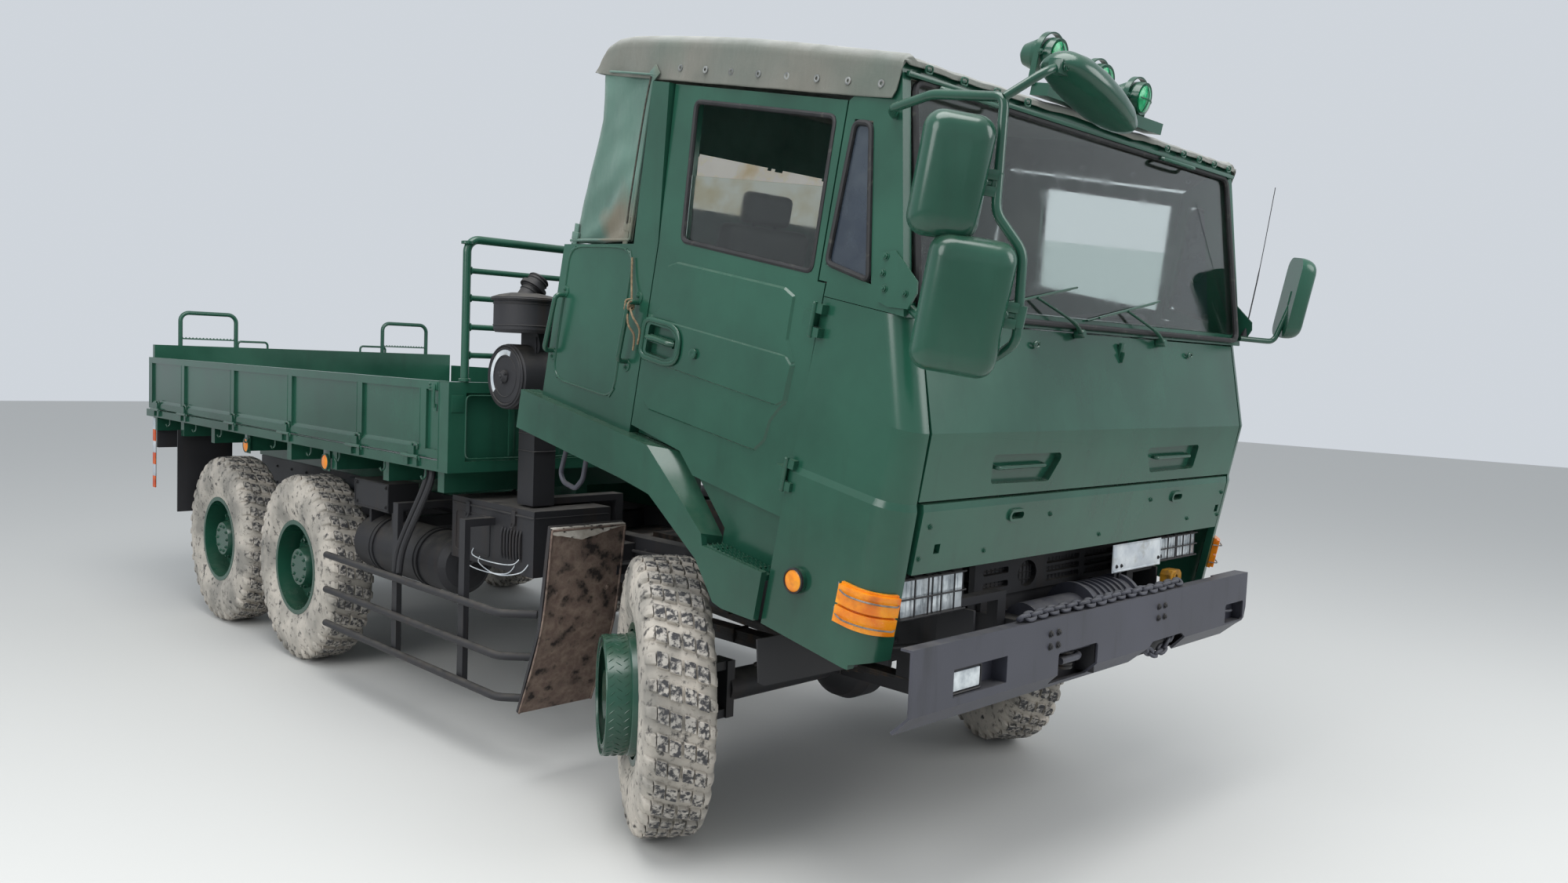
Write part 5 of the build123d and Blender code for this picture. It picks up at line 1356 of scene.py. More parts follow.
def makeBulkhead(b):
    # posts' folded edges, the pressed panels with their ribs, and collars on the rack's tubes
    bm = bmesh.new()
    for side in (-1, 1):
        x = side * b["half"]
        addTube(bm, truckPath([(x, 1610, 1290), (x, 1610, 1696)]), 0.003, 6)
        addBlock(bm, (x - 3, 1524, 1700), (x + 3, 1606, 1704), fromTruck, 1)
        addBlock(bm, (side * 1163 - 32, 1516, 1560), (side * 1163 + 32, 1520, 1640), fromTruck, 2)
    for middle in (-600, 600):
        addFrame(bm, "y", 1519, (middle - 520, 1342), (middle + 520, 1638), 0.03, 4, 0.004)
        for x in (middle - 262, middle, middle + 262):
            addBlock(bm, (x - 16, 1536, 1345), (x + 16, 1548, 1635), fromTruck, 4)
    collar = [(0, 0.019), (0, 0.028), (0.012, 0.028), (0.014, 0.019)]
    for x in (-b["postX"], b["postX"]):
        for z in b["postCollars"]:
            addTurned(bm, collar, fromTruck(x, 1540, z - 3 if z > 2000 else z), Vector((0, 0, 1)), 20)
        for z in b["rackBars"]:
            addTurned(bm, [(-0.003, 0), (-0.003, 0.020), (0.003, 0.020), (0.003, 0)],
                      fromTruck(x * 0.983, 1540, z), Vector((1, 0, 0)), 16)
    fromBmesh("bulkhead_fittings", bm, greenEnamel, "chassis")


def makeDeck(b):
    # boards of the load floor, with their gaps and screws
    bm = bmesh.new()
    for k in range(b["planks"]):
        x = -1100 + k * b["plankStep"]
        addBlock(bm, (x - 3, 1640, 1330.2), (x + 3, 5770, 1332.2), fromTruck, 0.8)
        for y in b["screws"]:
            addTurned(bm, [(0, 0), (0, 0.008), (0.0014, 0.0065), (0.0016, 0)], fromTruck(x + 60, y, 1330),
                      Vector((0, 0, 1)), 10)
    fromBmesh("deck_strips", bm, greenEnamel, "chassis", 20)


def makeTailgate(b):
    # ribs, rails and the toothed treads of the hoops
    bm = bmesh.new()
    y = b["rearY"]
    for x in b["gateRibs"]:
        addBlock(bm, (x - 22, y - 2, 1380), (x + 22, y + 7, 1752), fromTruck, 5)
    addBlock(bm, (-1150, y - 2, 1752), (1150, y + 8, 1788), fromTruck, 5)
    addBlock(bm, (-1150, y - 2, 1346), (1150, y + 4, 1378), fromTruck, 4)
    for low, high in b["hoops"]:
        for k in range(16):
            x = low + 14 + (high - low - 28) * k / 15
            addTurned(bm, [(0, 0.007), (0.006, 0.0035), (0.007, 0)], fromTruck(x, y - 20, 1846),
                      Vector((0, 0, 1)), 8)
        addBlock(bm, (low, y - 30, 1836), (high, y - 10, 1846), fromTruck, 2)
    fromBmesh("tailgate_ribs", bm, greenEnamel, "gate")


def makeReflectors(b):
    # amber reflectors under the sill, and the red and white markers at the tail
    ambers, mounts, orange, white = bmesh.new(), bmesh.new(), bmesh.new(), bmesh.new()
    mark = b["marker"]
    for side in (-1, 1):
        outwards = Vector((side, 0, 0))
        for y in b["reflectors"]:
            base = fromTruck(side * 1185, y, 1208)
            addBlock(mounts, (side * 1176 - 3, y - 40, 1160), (side * 1176 + 3, y + 40, 1279), fromTruck, 2)
            addTurned(ambers, [(-0.006, 0), (-0.006, 0.040), (0.004, 0.039), (0.008, 0.032), (0.009, 0)], base,
                      outwards, 28)
            addTurned(mounts, [(-0.006, 0.040), (-0.006, 0.046), (0.006, 0.045), (0.007, 0.040)], base, outwards, 28)
        y = mark["y"]
        for k in range(mark["stripes"]):
            z = mark["z"] + k * mark["tall"]
            addBlock(white if k % 2 else orange, (side * 1168 - 3, y, z), (side * 1168 + 3, y + 55, z + mark["tall"]),
                     fromTruck, 1)
        addBlock(mounts, (side * 1162 - 4, y + 4, 1240), (side * 1162 + 4, y + 50, 1282), fromTruck, 1)
        addBlock(mounts, (side * 1162 - 4, y + 12, mark["z"]), (side * 1162 + 3, y + 30, 1282), fromTruck, 1)
    fromBmesh("side_reflectors", ambers, amberLens, "chassis")
    fromBmesh("reflector_mounts", mounts, greenEnamel, "chassis")
    fromBmesh("tail_marker_whites", white, whitePaint, "chassis")
    fromBmesh("tail_marker_stripes", orange, orangePaint, "chassis")


def makeTailLamps():
    for name, across, lens, slotName in (("tail_lamp_reds", 1000, redLens, "lamp_plastic"),
                                         ("tail_lamp_ambers", 1096, amberLens, "amber_plastic"),
                                         ("tail_lamp_clears", 904, clearLens, "lamp_plastic")):
        bm = bmesh.new()
        for x in (-across, across):
            addBlock(bm, (x - 42, 5805, 1066), (x + 42, 5815, 1160), fromTruck, 4)
            for k in range(1, 6):
                z = 1066 + k * 15.5
                addBlock(bm, (x - 36, 5814.5, z), (x + 36, 5816.5, z + 3), fromTruck, 0.8)
        fromBmesh(name, bm, lens, "chassis")


makeBoardFittings(bed)
makePinsAndHooks(bed)
makeBulkhead(bed)
makeDeck(bed)
makeTailgate(bed)
makeReflectors(bed)
makeTailLamps()
print("bed fittings made")

# Cab side: the quarter panel's press line, grab handle feet, hinge caps, step bars and the rope knot
cabSide = {
    "press": [(846, 1965), (800, 1996), (520, 2036), (452, 2030), (432, 1990), (428, 1500), (452, 1462), (800, 1448),
              (850, 1478)],
    "feet": [(840, 1790, 1), (870, 1555, -1), (360, 1850, 1), (375, 1620, -1)],     # y, z, upper or lower
    "foot": [(-0.001, 0), (-0.001, 0.024), (0.004, 0.023), (0.005, 0)],
    "hinges": (1455, 1970), "cap": [(-0.001, 0), (-0.001, 0.009), (0.004, 0.0075), (0.005, 0)],
    "stepBar": [(893, 1270), (938, 1000), (905, 967), (815, 965), (772, 1020), (762, 1270)],
    "tails": [[(-1212, 352, 1830), (-1216, 320, 1800), (-1192, 300, 1756), (-1186, 306, 1700)],
              [(-1210, 370, 1834), (-1218, 340, 1770), (-1196, 322, 1730), (-1184, 330, 1672)],
              [(-1196, 366, 1850), (-1184, 402, 1930), (-1180, 424, 2010)]],
}


def makeCabSide(c):
    presses, knots = bmesh.new(), bmesh.new()
    for side in (-1, 1):
        loop = [fromCab(side * 1170.6, y, z) for y, z in c["press"]]
        addTube(presses, roundedLoop(loop, 0.045, 6), 0.0048, 8, True, 0.9)
        outwards = cabAxis(side, 0, 0)
        for y, z, way in c["feet"]:
            addTurned(presses, c["foot"], fromCab(side * 1170, y, z + way * 17), outwards, 20)
            addBolt(presses, fromCab(side * 1174, y, z + way * 24), outwards, 0.007)
        # the caps of the door hinges' knuckles
        for z in c["hinges"]:
            for way in (-1, 1):
                addTurned(presses, c["cap"], fromCab(side * 1202, -578, z + way * 54), cabAxis(0, 0, way), 14)
    fromBmesh("cab_side_fittings", presses, greenEnamel, "cab")
    # step bar hung under the sill at the rear
    bar = bmesh.new()
    for side in (-1, 1):
        corners = cabPath([(side * 1000, y, z) for y, z in c["stepBar"]])
        addTube(bar, roundedLoop(corners, 0.02, 6, False), 0.011, 10)
    fromBmesh("sill_step_bars", bar, greyEnamel, "cab")
    # rope wound round the front handle's head, with three loose ends
    wrap = []
    for k in range(90):
        turn = 2 * math.pi * k / 18
        wrap.append(fromCab(-1204 + 17 * math.cos(turn), 362 + 9 * math.sin(turn * 0.5),
                            1822 + k * 0.32 + 12 * math.sin(turn)))
    addTube(knots, wrap, 0.0042, 8)
    for tail in c["tails"]:
        addTube(knots, smoothPath(cabPath(tail), 8), 0.004, 8)
    fromBmesh("rope_knot", knots, brownRope, "cab")


makeCabSide(cabSide)

# Air cleaner: pale arc on the disc, a painted highlight in white, centre knob, clips, straps and the ribbed inlet
cleaner = {
    "disc": (-1070, 1270, 1737), "rings": [(0.128, 0.006, 0), (0.092, 0.003, 0), (0.140, 0.005, 0.002)],
    "arc": (0.098, 0.121, -38, 150), "clips": [1560, 1890], "straps": [1400, 1480, 1640, 1780],
    "pot": [(1968, 0.1405), (2064, 0.1405), (2085, 0.1525)], "ribs": [0.035, 0.055, 0.075, 0.098, 0.112],
}


def makeAirCleaner(c):
    bm, arc = bmesh.new(), bmesh.new()
    base = fromTruck(*c["disc"])
    for radius, size, lift in c["rings"]:
        addTube(bm, [base + onWheel(lift, radius, a) for a in turns(48)], size, 6, True)
    for k in range(3):
        turn = 2 * math.pi * k / 3 + 0.5
        addTube(bm, [base + Vector((-0.012, 0, 0)), base + onWheel(-0.016, 0.034, turn)], [0.008, 0.006], 8)
    addTurned(bm, [(0, 0), (0, 0.010), (0.022, 0.008), (0.026, 0.004), (0.026, 0)], base + Vector((-0.004, 0, 0)),
              Vector((-1, 0, 0)), 14)
    # the pale arc between the rings is a painted highlight, where the disc's curved face catches the light, drawn in
    # white paint
    inside, outside, start, sweep = c["arc"]
    rows = []
    for k in range(25):
        turn = math.radians(start + sweep * k / 24)
        rows.append([arc.verts.new(base + onWheel(-0.0012, r, turn)) for r in (inside, outside)])
    bridge(arc, rows, False)
    fromBmesh("cleaner_arc_highlight", arc, whitePaint, "chassis", 0)
    # leaf clips and their strap on the duct
    for z in c["clips"]:
        rim = [(1176 + 24 * math.cos(a) * (1 - 0.35 * math.sin(a)), z + 46 * math.sin(a)) for a in turns(20)]
        rows = [[bm.verts.new(fromTruck(x, y, high)) for y, high in rim] for x in (-969, -965)]
        bm.faces.new(rows[0])
        bridge(bm, rows)
    strap = truckPath([(-971, 1176, 1530), (-976, 1168, 1700), (-974, 1172, 1850), (-971, 1178, 1920)])
    addTube(bm, smoothPath(strap, 6), 0.004, 6)
    for z in c["straps"]:
        addFrame(bm, "z", z, (-967, 1178), (-848, 1312), 0.012, 3, 0.0035)
    pot = fromTruck(-1000, 1225, 0)
    for z, radius in c["pot"]:
        ring = [pot + Vector((radius * math.cos(a), radius * math.sin(a), z * mm)) for a in turns(56)]
        addTube(bm, ring, 0.003, 6, True)
    axis = Vector((70, 0, 95)).normalized()
    first, second = sideways(axis)
    for lift in c["ribs"]:
        spot = fromTruck(-1000, 1225, 2090) + axis * lift
        ring = [spot + (first * math.cos(a) + second * math.sin(a)) * 0.046 for a in turns(32)]
        addTube(bm, ring, 0.0035, 6, True)
    fromBmesh("air_cleaner_fittings", bm, blackEnamel, "chassis")


makeAirCleaner(cleaner)

# Chassis: tank bands, pipes, brackets, spring leaves and clips, bumper bolts
chassis = {
    "tank": (-905, 770), "bands": [2100, 2590], "bandRadius": 157, "plugs": [(1850, -1), (2836, 1)],
    "louvres": 7, "latches": [1240, 1640],
    "pipes": [
        [(-436, 780, 920), (-444, 1100, 912), (-446, 1900, 905), (-442, 2900, 915), (-438, 3700, 930)],
        [(-436, 820, 880), (-448, 1300, 868), (-446, 2200, 872), (-440, 3200, 886)],
        [(-760, 1810, 860), (-700, 1900, 1000), (-560, 1980, 1120), (-470, 2000, 1130)],
        [(-905, 1845, 770), (-900, 1790, 800), (-840, 1760, 838)],
        [(-470, -700, 820), (-560, -420, 760), (-640, -200, 720), (-700, -40, 640)],
        [(440, -700, 840), (560, -420, 770), (650, -180, 720), (700, -30, 640)],
    ],
    "guardStay": [(-1160, 1745, 1268), (-1172, 1760, 1180), (-1176, 1980, 880), (-1176, 2030, 735)],
    "springs": [(-615, 735), (3340, 4680)], "springX": 390.0, "leaves": 7, "leafThick": 8.4,
    "leads": [(-1012, 1120, 905, 0), (-1044, 1150, 856, 0), (-1052, 1330, 822, 1), (-1044, 1500, 850, 0),
              (-1012, 1540, 880, 0)],
    "leadOffsets": [(0, 0, 0), (30, 60, 20), (-20, 110, 18)],   # up, back, sag at the middle
    "recess": [((966, -1158, 798), (1160, -1154, 896)), ((966, -1201, 892), (1160, -1154, 896)),
               ((966, -1201, 798), (1160, -1154, 802)), ((962, -1201, 798), (967, -1154, 896)),
               ((1158, -1201, 800), (1163, -1154, 896))],
}
forwards, outLeft = Vector((0, -1, 0)), Vector((-1, 0, 0))


def makeTankAndBox(c, bm):
    tankX, tankZ = c["tank"]
    for y in c["bands"]:
        for dy in (-18, 18):
            ring = [fromTruck(tankX + c["bandRadius"] * math.cos(a), y + dy, tankZ + c["bandRadius"] * math.sin(a))
                    for a in turns(48)]
            addTube(bm, ring, 0.003, 6, True)
    for y, way in c["plugs"]:
        addTurned(bm, [(0, 0), (0, 0.022), (0.012, 0.020), (0.016, 0.012), (0.018, 0)], fromTruck(tankX, y, tankZ),
                  Vector((0, way, 0)), 20)
    # the cover over the tank: folded edge and bolts
    addFrame(bm, "x", -1051, (2416, 982), (2800, 1120), 0.010, 4, 0.004)
    for y in (2440, 2776):
        for z in (1000, 1104):
            addBolt(bm, fromTruck(-1051, y, z), outLeft, 0.008)
    # battery box: lid edge, louvres, latches and the pressed panel
    lid = truckPath([(-1022, 1084, 1108), (-1022, 1796, 1108), (-604, 1796, 1108), (-604, 1084, 1108)])
    addTube(bm, roundedLoop(lid, 0.012, 3), 0.0055, 8, True)
    for k in range(c["louvres"]):
        y = 1180 + k * 26
        slat = truckPath([(-1020, y, 900), (-1028, y, 930), (-1028, y, 1010), (-1020, y, 1040)])
        addTube(bm, smoothPath(slat, 4), 0.006, 8)
    for y in c["latches"]:
        addBlock(bm, (-1030, y - 16, 1060), (-1020, y + 16, 1126), fromTruck, 3)
        pull = truckPath([(-1030, y - 10, 1070), (-1036, y - 10, 1052), (-1036, y + 10, 1052), (-1030, y + 10, 1070)])
        addTube(bm, smoothPath(pull, 4), 0.003, 6)
    addFrame(bm, "x", -1021, (1450, 880), (1760, 1070), 0.02, 4, 0.003)


def makeSprings(c, bm):
    for side in (-1, 1):
        x = side * c["springX"]
        for start, end in c["springs"]:
            middle = (start + end) / 2
            for leaf in range(c["leaves"]):
                reach = (end - start) / 2 * (1 - leaf * 0.115)
                z = 664.0 - leaf * c["leafThick"] + 0.5
                addBlock(bm, (x - 38.5, middle - reach, z - 7.4), (x + 38.5, middle + reach, z), fromTruck, 1.2)
            for dy in (-320, 320):
                addFrame(bm, "y", middle + dy, (x - 43, 612), (x + 43, 668), 0.006, 3, 0.006)


def makeChassisFittings(c):
    bm, pipes, leaves, wires, recess, coil = [bmesh.new() for k in range(6)]
    makeTankAndBox(c, bm)
    for run in c["pipes"]:
        addTube(pipes, smoothPath(truckPath(run), 8), 0.0085, 8)
    for dy in (0, 46):
        stay = truckPath([(x, y + dy, z) for x, y, z in c["guardStay"]])
        addTube(pipes, smoothPath(stay, 6), 0.016, 10)
    makeSprings(c, leaves)
    # bolts along the rails and on the bumper's brackets
    for side in (-1, 1):
        for y in range(-1060, 5700, 260):
            for z in (800, 920):
                addBolt(bm, fromTruck(side * 430, y, z), Vector((side, 0, 0)), 0.009)
    for x in (-415, -365, 365, 415):
        for z in (910, 955):
            addBolt(bm, fromTruck(x, -1210, z), forwards, 0.010)
    for lift, back, sag in c["leadOffsets"]:
        lead = truckPath([(x, y + back, z + lift + sag * share) for x, y, z, share in c["leads"]])
        addTube(wires, smoothPath(lead, 8), 0.0026, 6)
    for low, high in c["recess"]:
        addBlock(recess, low, high, fromTruck, 0.8)
    eye = truckPath([(1000, -1156, 850), (1040, -1184, 850), (1090, -1184, 846), (1120, -1158, 840)])
    addTube(recess, smoothPath(eye, 5), 0.006, 8)
    spring = []
    for k in range(64):
        a = 2 * math.pi * k / 12
        spring.append(fromTruck(-225 + 34 * math.cos(a), -1152 + 34 * math.sin(a) * 0.7, 862 - k * 1.1))
    addTube(coil, spring, 0.0065, 8)
    fromBmesh("battery_leads", wires, whitePaint, "chassis")
    fromBmesh("chassis_fittings", bm, blackEnamel, "chassis")
    fromBmesh("chassis_pipes", pipes, blackEnamel, "chassis")
    fromBmesh("spring_leaves", leaves, castSteel, "chassis")
    fromBmesh("left_recess_box", recess, greyEnamel, "chassis")
    fromBmesh("tow_hook_spring", coil, castSteel, "chassis")


makeChassisFittings(chassis)
print("chassis fittings made")


# Mirror housings: moulded shells with domed backs, drawn over the plain ones
housing = {
    # depth behind the glass, how far the outline steps in
    "shell": [(-17, 6), (-17, -1.5), (-8, -2.5), (4, -1.5), (18, 1), (32, 6), (44, 13), (53, 23), (59, 38), (62, 60)],
    # points of a bar, its radius
    "stays": [
        ([(-1153.6, -715, 2630), (-1195, -735, 2640), (-1250, -930, 2685), (-1275, -1195, 2690),
          (-1285, -1250, 2390), (-1222, -1320, 2300), (-1220, -1360, 2060), (-1205, -1240, 1960),
          (-1145, -920, 2072)], 0.014),
        ([(-1275, -1195, 2690), (-1215, -1262, 2770), (-1150, -1256, 2796)], 0.012),
        ([(1150, -919, 2080), (1290, -1010, 2090), (1330, -1030, 2290)], 0.012),
    ],
    # the mirror over the front: distance along its shell from the low end, half width, half height
    "kerb": [(0, 12, 8), (12, 40, 27), (44, 68, 44), (105, 88, 58), (190, 97, 65), (280, 96, 66), (350, 86, 60),
             (400, 68, 46), (424, 44, 28), (432, 12, 8)],
    "kerbLow": (-745, -1250, 2690), "kerbTilt": math.radians(16), "bend": 0.030,
}


def makeMirrorShells(table, h):
    bm = bmesh.new()
    for m in table:
        centre, across, out = mirrorAxes(m)
        width, height = m["size"]
        rings = []
        for depth, inset in h["shell"]:
            corner = 51 - inset * 0.55
            ring = []
            for cx, cz, start in ((1, 1, 0), (-1, 1, 90), (-1, -1, 180), (1, -1, 270)):
                for k in range(9):
                    a = math.radians(start + 90 * k / 8)
                    spot = across * (cx * (width / 2 - inset - corner) + corner * math.cos(a))
                    spot = spot + Vector((0, 0, cz * (height / 2 - inset - corner) + corner * math.sin(a)))
                    ring.append(bm.verts.new(fromCab(*(centre + spot + out * depth))))
            rings.append(ring)
        bridge(bm, rings)
        bm.faces.new(rings[-1])
        bm.faces.new(rings[0])
        arm = [fromCab(m["centre"][0], m["centre"][1], m["clamp"][2]), fromCab(*m["clamp"])]
        addTube(bm, arm, 0.017, 14)
        addTube(bm, [arm[1] - cabAxis(0, 0, 1) * 0.03, arm[1] + cabAxis(0, 0, 1) * 0.03], 0.021, 14)
    for points, radius in h["stays"]:
        addTube(bm, roundedLoop(cabPath(points), h["bend"], 6, False), radius, 14)
    low, tilt = Vector(h["kerbLow"]), h["kerbTilt"]
    along, up = Vector((-math.cos(tilt), 0, math.sin(tilt))), Vector((math.sin(tilt), 0, math.cos(tilt)))
    rings = []
    for distance, halfWide, halfHigh in h["kerb"]:
        ring = []
        for a in turns(32):
            lift = halfHigh * math.sin(a) * (1 if math.sin(a) > 0 else 0.42)
            place = low + along * distance + up * lift + Vector((0, halfWide * math.cos(a), 0))
            ring.append(bm.verts.new(fromCab(*place)))
        rings.append(ring)
    bridge(bm, rings)
    bm.faces.new(rings[0])
    bm.faces.new(rings[-1])
    addBlock(bm, (-1172, -1276, 2776), (-1118, -1236, 2816), fromCab, 6)
    addBolt(bm, fromCab(-1145, -1278, 2796), cabAxis(0, -1, 0), 0.009)
    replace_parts(fromBmesh("mirror_shells", bm, greenEnamel, "cab", 40), "mirrors")


makeMirrorShells(mirrorFaces, housing)

# Winch chain in round links, heaped on the bumper's top and in a loop through the notch; two pins hold the loop
chain = {
    "half": 27.0, "wide": 14.0, "radius": 7.6, "step": 39.0, "count": 30, "start": -565.0, "y": -1188.0, "z": 1029.0,
    "heap": (4, 24, -15.0, 14.0),
    "loop": [(318, 828, -64), (339, 795, -52), (368, 770, -32), (403, 756, -12), (442, 753, 6), (480, 763, 24),
             (512, 784, 42), (537, 813, 56)],
}


def addLink(bm, place, climb, roll, c, swing=0.0):
    tilt, spin, yaw = math.radians(climb), math.radians(roll), math.radians(swing)
    points = []
    for k in range(16):
        a = 2 * math.pi * (k + 0.5) / 16
        along = c["half"] * (0.72 * math.cos(a) + 0.28 * math.copysign(min(abs(1.9 * math.cos(a)), 1.0), math.cos(a)))
        side = c["wide"] * math.sin(a)
        sideY, sideZ = side * math.cos(spin), side * math.sin(spin)
        x = along * math.cos(tilt) - sideZ * math.sin(tilt)
        z = along * math.sin(tilt) + sideZ * math.cos(tilt)
        y = sideY * math.cos(yaw) + x * math.sin(yaw)
        points.append(fromTruck(place[0] + x * math.cos(yaw) - sideY * math.sin(yaw), place[1] + y, place[2] + z))
    addTube(bm, points, c["radius"] * mm, 8, True)


def makeChain(c):
    bm = bmesh.new()
    for k in range(c["count"]):
        x = c["start"] + k * c["step"]
        addLink(bm, (x, c["y"] + 5 * math.sin(x / 70), c["z"]), 3 * math.sin(k), 45 if k % 2 else -45, c)
    first, last, rise, back = c["heap"]
    for k in range(first, last):
        x = c["start"] + (k + 0.5) * c["step"]
        hump = math.sin(math.pi * (k - first + 0.5) / (last - first))
        addLink(bm, (x, c["y"] + 24 + back * 0.5 * math.sin(k * 0.9), c["z"] + rise), 3 * math.cos(k * 1.1),
                40 if k % 2 else -35, c, 22 * math.sin(k * 0.7))
        if hump > 0.6:
            addLink(bm, (x + 12, c["y"] + 50 + 5 * math.sin(k), c["z"] - 26), -6 * math.cos(k),
                    -40 if k % 2 else 35, c, -18)
    for k, (x, z, climb) in enumerate(c["loop"]):
        addLink(bm, (x, -1176, z), climb, 45 if k % 2 else -45, c)
    for x in (312, 545):
        addTube(bm, truckPath([(x, -1201, 836), (x, -1150, 836)]), 0.007, 10)
    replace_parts(fromBmesh("winch_chain_links", bm, greyEnamel, "chassis", 60), "winch_chain")


makeChain(chain)

nose = {
    "screen": ((-474, -901, 880), (617, -897, 1183)), "mesh": 26.0,
    # side plates, and brackets behind the hook opening and the notch
    "plates": [((-664, -1060, 905), (-652, -905, 1040)), ((640, -1050, 905), (652, -905, 1062)),
               ((652, -1012, 940), (700, -1004, 1062))],
    "brackets": [((-352, -1118, 738), (90, -1112, 905)), ((-352, -1142, 738), (90, -1112, 744)),
                 ((-86, -1196, 760), (-80, -1112, 905)), ((262, -1138, 745), (820, -1132, 905)),
                 ((648, -1199, 800), (654, -1134, 905)), ((700, -1146, 900), (960, -1140, 1000))],
}


def makeNose(n):
    bm = bmesh.new()
    low, high = n["screen"]
    addBlock(bm, low, high, fromTruck, 1)
    for k in range(1, int((high[0] - low[0]) / n["mesh"])):
        x = low[0] + k * n["mesh"]
        addTube(bm, truckPath([(x, low[1] - 2, 1030), (x, low[1] - 2, high[2] - 4)]), 0.0016, 4)
    for k in range(6):
        z = 1042 + k * n["mesh"]
        addTube(bm, truckPath([(low[0] + 4, low[1] - 3, z), (high[0] - 4, low[1] - 3, z)]), 0.0016, 4)
    for first, last in n["plates"]:
        addBlock(bm, first, last, fromTruck, 2)
    for z in (940, 1020):
        addBolt(bm, fromTruck(676, -1012, z), forwards, 0.009)
    for first, last in n["brackets"]:
        addBlock(bm, first, last, fromTruck, 2)
    fromBmesh("nose_screen_and_brackets", bm, blackEnamel, "chassis")


makeNose(nose)

# Tow lug and seats
ochrePaint = plainFinish("ochre_machine_paint", {
    "dark": "#8f6417", "light": "#b9851f", "grain": 0.05, "dirt": "#4d3f2b", "soilSize": 0.03, "soil": (0.52, 0.75),
    "bumpSize": 0.01, "bumpDepth": 0.0003, "rough": (0.35, 0.55)})
lug = {"outline": [(648, 1000), (648, 1034), (664, 1052), (728, 1052), (744, 1036), (744, 1000)], "y": (-1112, -1064)}
seating = {
    "places": (-620, 0, 560),
    # half width, y and z of the cushion, the back, the headrest and the frame below, and their edges
    "blocks": [(228, (-178, 328), (1562, 1678), 38), (218, (262, 368), (1682, 2198), 42),
               (118, (290, 366), (2204, 2330), 34)],
    "frame": (178, (-118, 278), (1322.0, 1560), 10),
}


def makeTowLug(t):
    bm = bmesh.new()
    rings = [[bm.verts.new(fromTruck(x, y, z)) for x, z in t["outline"]] for y in t["y"]]
    bridge(bm, rings)
    for ring in rings:
        bm.faces.new(ring)
    addTurned(bm, [(0, 0.010), (0, 0.020), (0.005, 0.020), (0.005, 0.010)], fromTruck(690, -1112, 1026), forwards, 20)
    fromBmesh("tow_lug", bm, ochrePaint, "chassis")


def makeSeats(s):
    bm = bmesh.new()

    def addPad(x, half, ys, zs, edge):
        addBlock(bm, (x - half, ys[0], zs[0]), (x + half, ys[1], zs[1]), fromCab, edge)
    for x in s["places"]:
        for pad in s["blocks"]:
            addPad(x, *pad)
        for dx in (-60, 60):
            addTube(bm, cabPath([(x + dx, 326, 2180), (x + dx, 326, 2215)]), 0.007, 8)
        addPad(x, *s["frame"])
    piece = fromBmesh("cab_seats", bm, blackVinyl, "cab", 50)
    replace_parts(piece, "seats")


makeTowLug(lug)
makeSeats(seating)

# Doors: rounded bezel, bowed lever and escutcheon; whip aerial on the left pillar
handle = {
    "bezel": [(282, 1806), (120, 1810), (68, 1780), (66, 1686), (128, 1663), (282, 1664)], "out": 1188.0,
    "lever": [(1176, 108, 1741), (1191, 128, 1741), (1191, 188, 1743), (1191, 236, 1740), (1176, 248, 1738)],
    "lock": [(0, 0), (0, 0.019), (0.003, 0.018), (0.0045, 0.012), (0.003, 0.006), (0.003, 0)],
}
aerial = {
    "foot": [(0, 0), (0, 0.016), (0.02, 0.014), (0.05, 0.006), (0.06, 0.004), (0.06, 0)],
    "whip": [(1176, -925, 2130), (1178, -915, 2400), (1184, -890, 2740)],
}


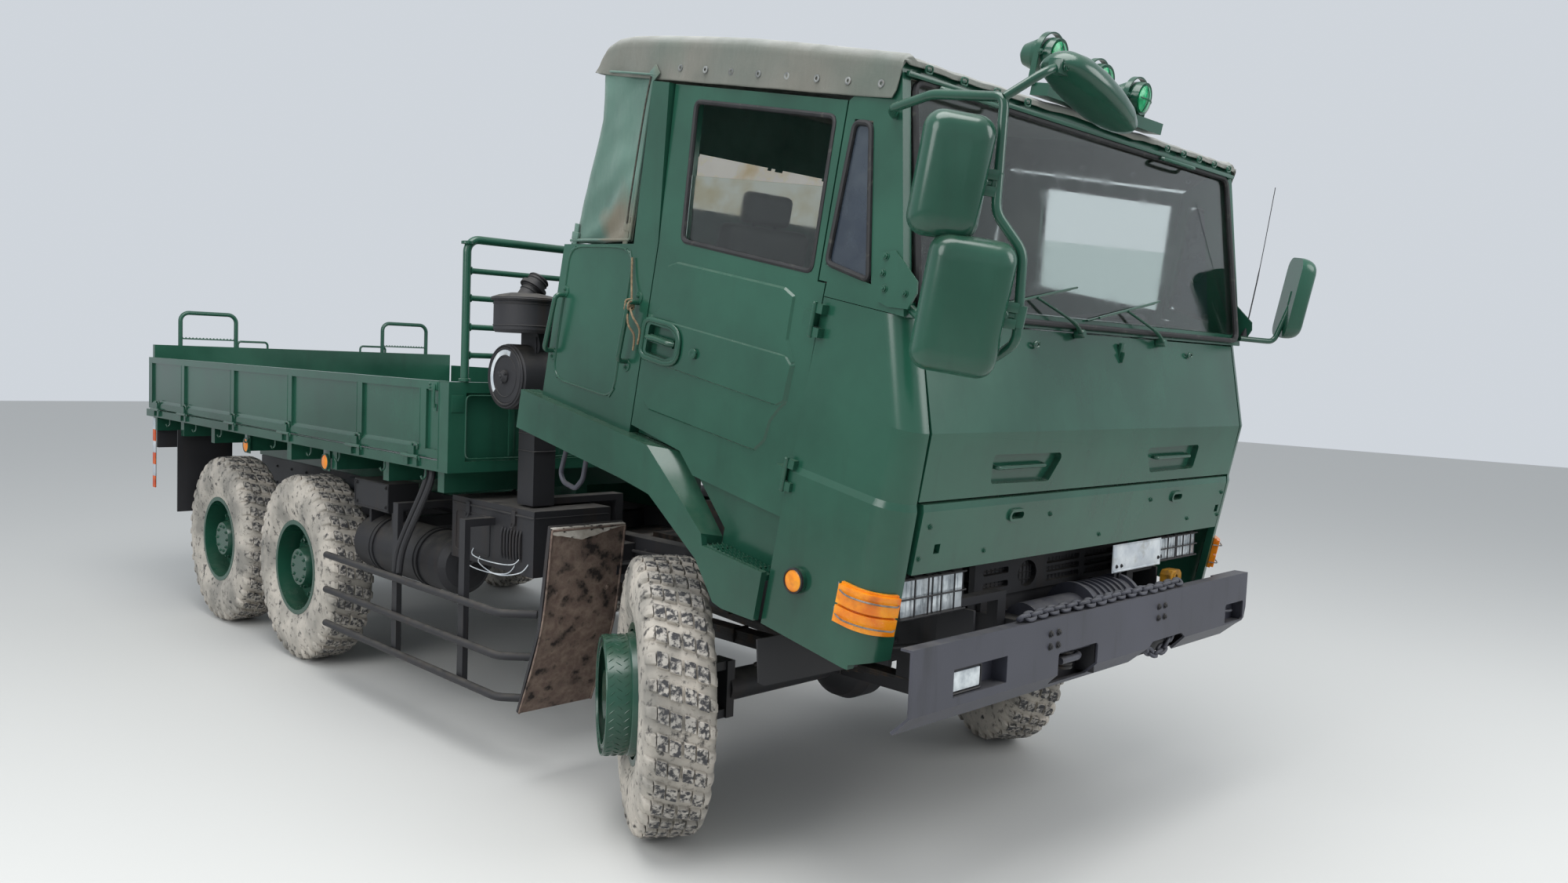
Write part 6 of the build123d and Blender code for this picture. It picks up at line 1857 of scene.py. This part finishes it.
def makeHandles(h):
    for side, body in doors:
        bm = bmesh.new()
        loop = [fromCab(side * h["out"], y, z) for y, z in h["bezel"]]
        addTube(bm, roundedLoop(loop, 0.036, 8), 0.010, 12, True, 0.6)
        addTube(bm, smoothPath([fromCab(side * x, y, z) for x, y, z in h["lever"]], 5), 0.019, 14, False, 0.62)
        addTurned(bm, h["lock"], fromCab(side * 1190, -18, 1735), cabAxis(side, 0, 0), 24)
        fromBmesh("handle_" + body, bm, greenEnamel, body, 50)


def makeAerial(a):
    bm = bmesh.new()
    addTurned(bm, a["foot"], fromCab(1176, -925, 2082), cabAxis(0, 0, 1), 14)
    addTube(bm, smoothPath(cabPath(a["whip"]), 8), [0.003] * 8 + [0.0018] * 60, 6)
    fromBmesh("whip_aerial", bm, blackEnamel, "cab")


makeHandles(handle)
makeAerial(aerial)
print("mirrors, chain, nose and handles made")


def layFloor():
    deselectAll()
    bpy.ops.mesh.primitive_plane_add(size=60.0, location=(0.0, 0.0, 0.0))
    floor = bpy.context.object
    floor.name = "floor"
    material, tree = newMaterial("pale_floor")[:2]
    shader = addNode(tree, "BsdfPrincipled", {"Base Color": colour("#c9c9c6"), "Roughness": 0.85})
    finishMaterial(tree, shader)
    floor.data.materials.append(material)


def lightStudio():
    world = bpy.data.worlds.new("pale_sky")
    bpy.context.scene.world = world
    world.use_nodes = True
    tree = world.node_tree
    tree.nodes.clear()
    background = addNode(tree, "Background", {"Color": colour("#dfe5ec"), "Strength": 0.85})
    addNode(tree, "OutputWorld", {"Surface": background.outputs[0]})
    lamps = [  # name, place, aimed at, size, watts
        ("overhead", (-2.0, -3.0, 8.0), (0.0, -1.0, 1.0), 6.0, 500.0),
        ("left_fill", (-8.0, -2.0, 5.0), (0.0, 0.0, 1.2), 5.0, 260.0),
        ("front_fill", (3.0, -9.0, 5.0), (0.0, -2.0, 1.5), 5.0, 240.0),
    ]
    for name, place, aim, size, watts in lamps:
        data = bpy.data.lights.new(name, "AREA")
        data.shape = "DISK"
        data.size = size
        data.energy = watts
        lamp = bpy.data.objects.new(name, data)
        bpy.context.scene.collection.objects.link(lamp)
        lamp.location = place
        lamp.rotation_euler = (Vector(aim) - Vector(place)).to_track_quat("-Z", "Y").to_euler()


layFloor()
lightStudio()
bpy.context.scene.view_settings.view_transform = "Standard"
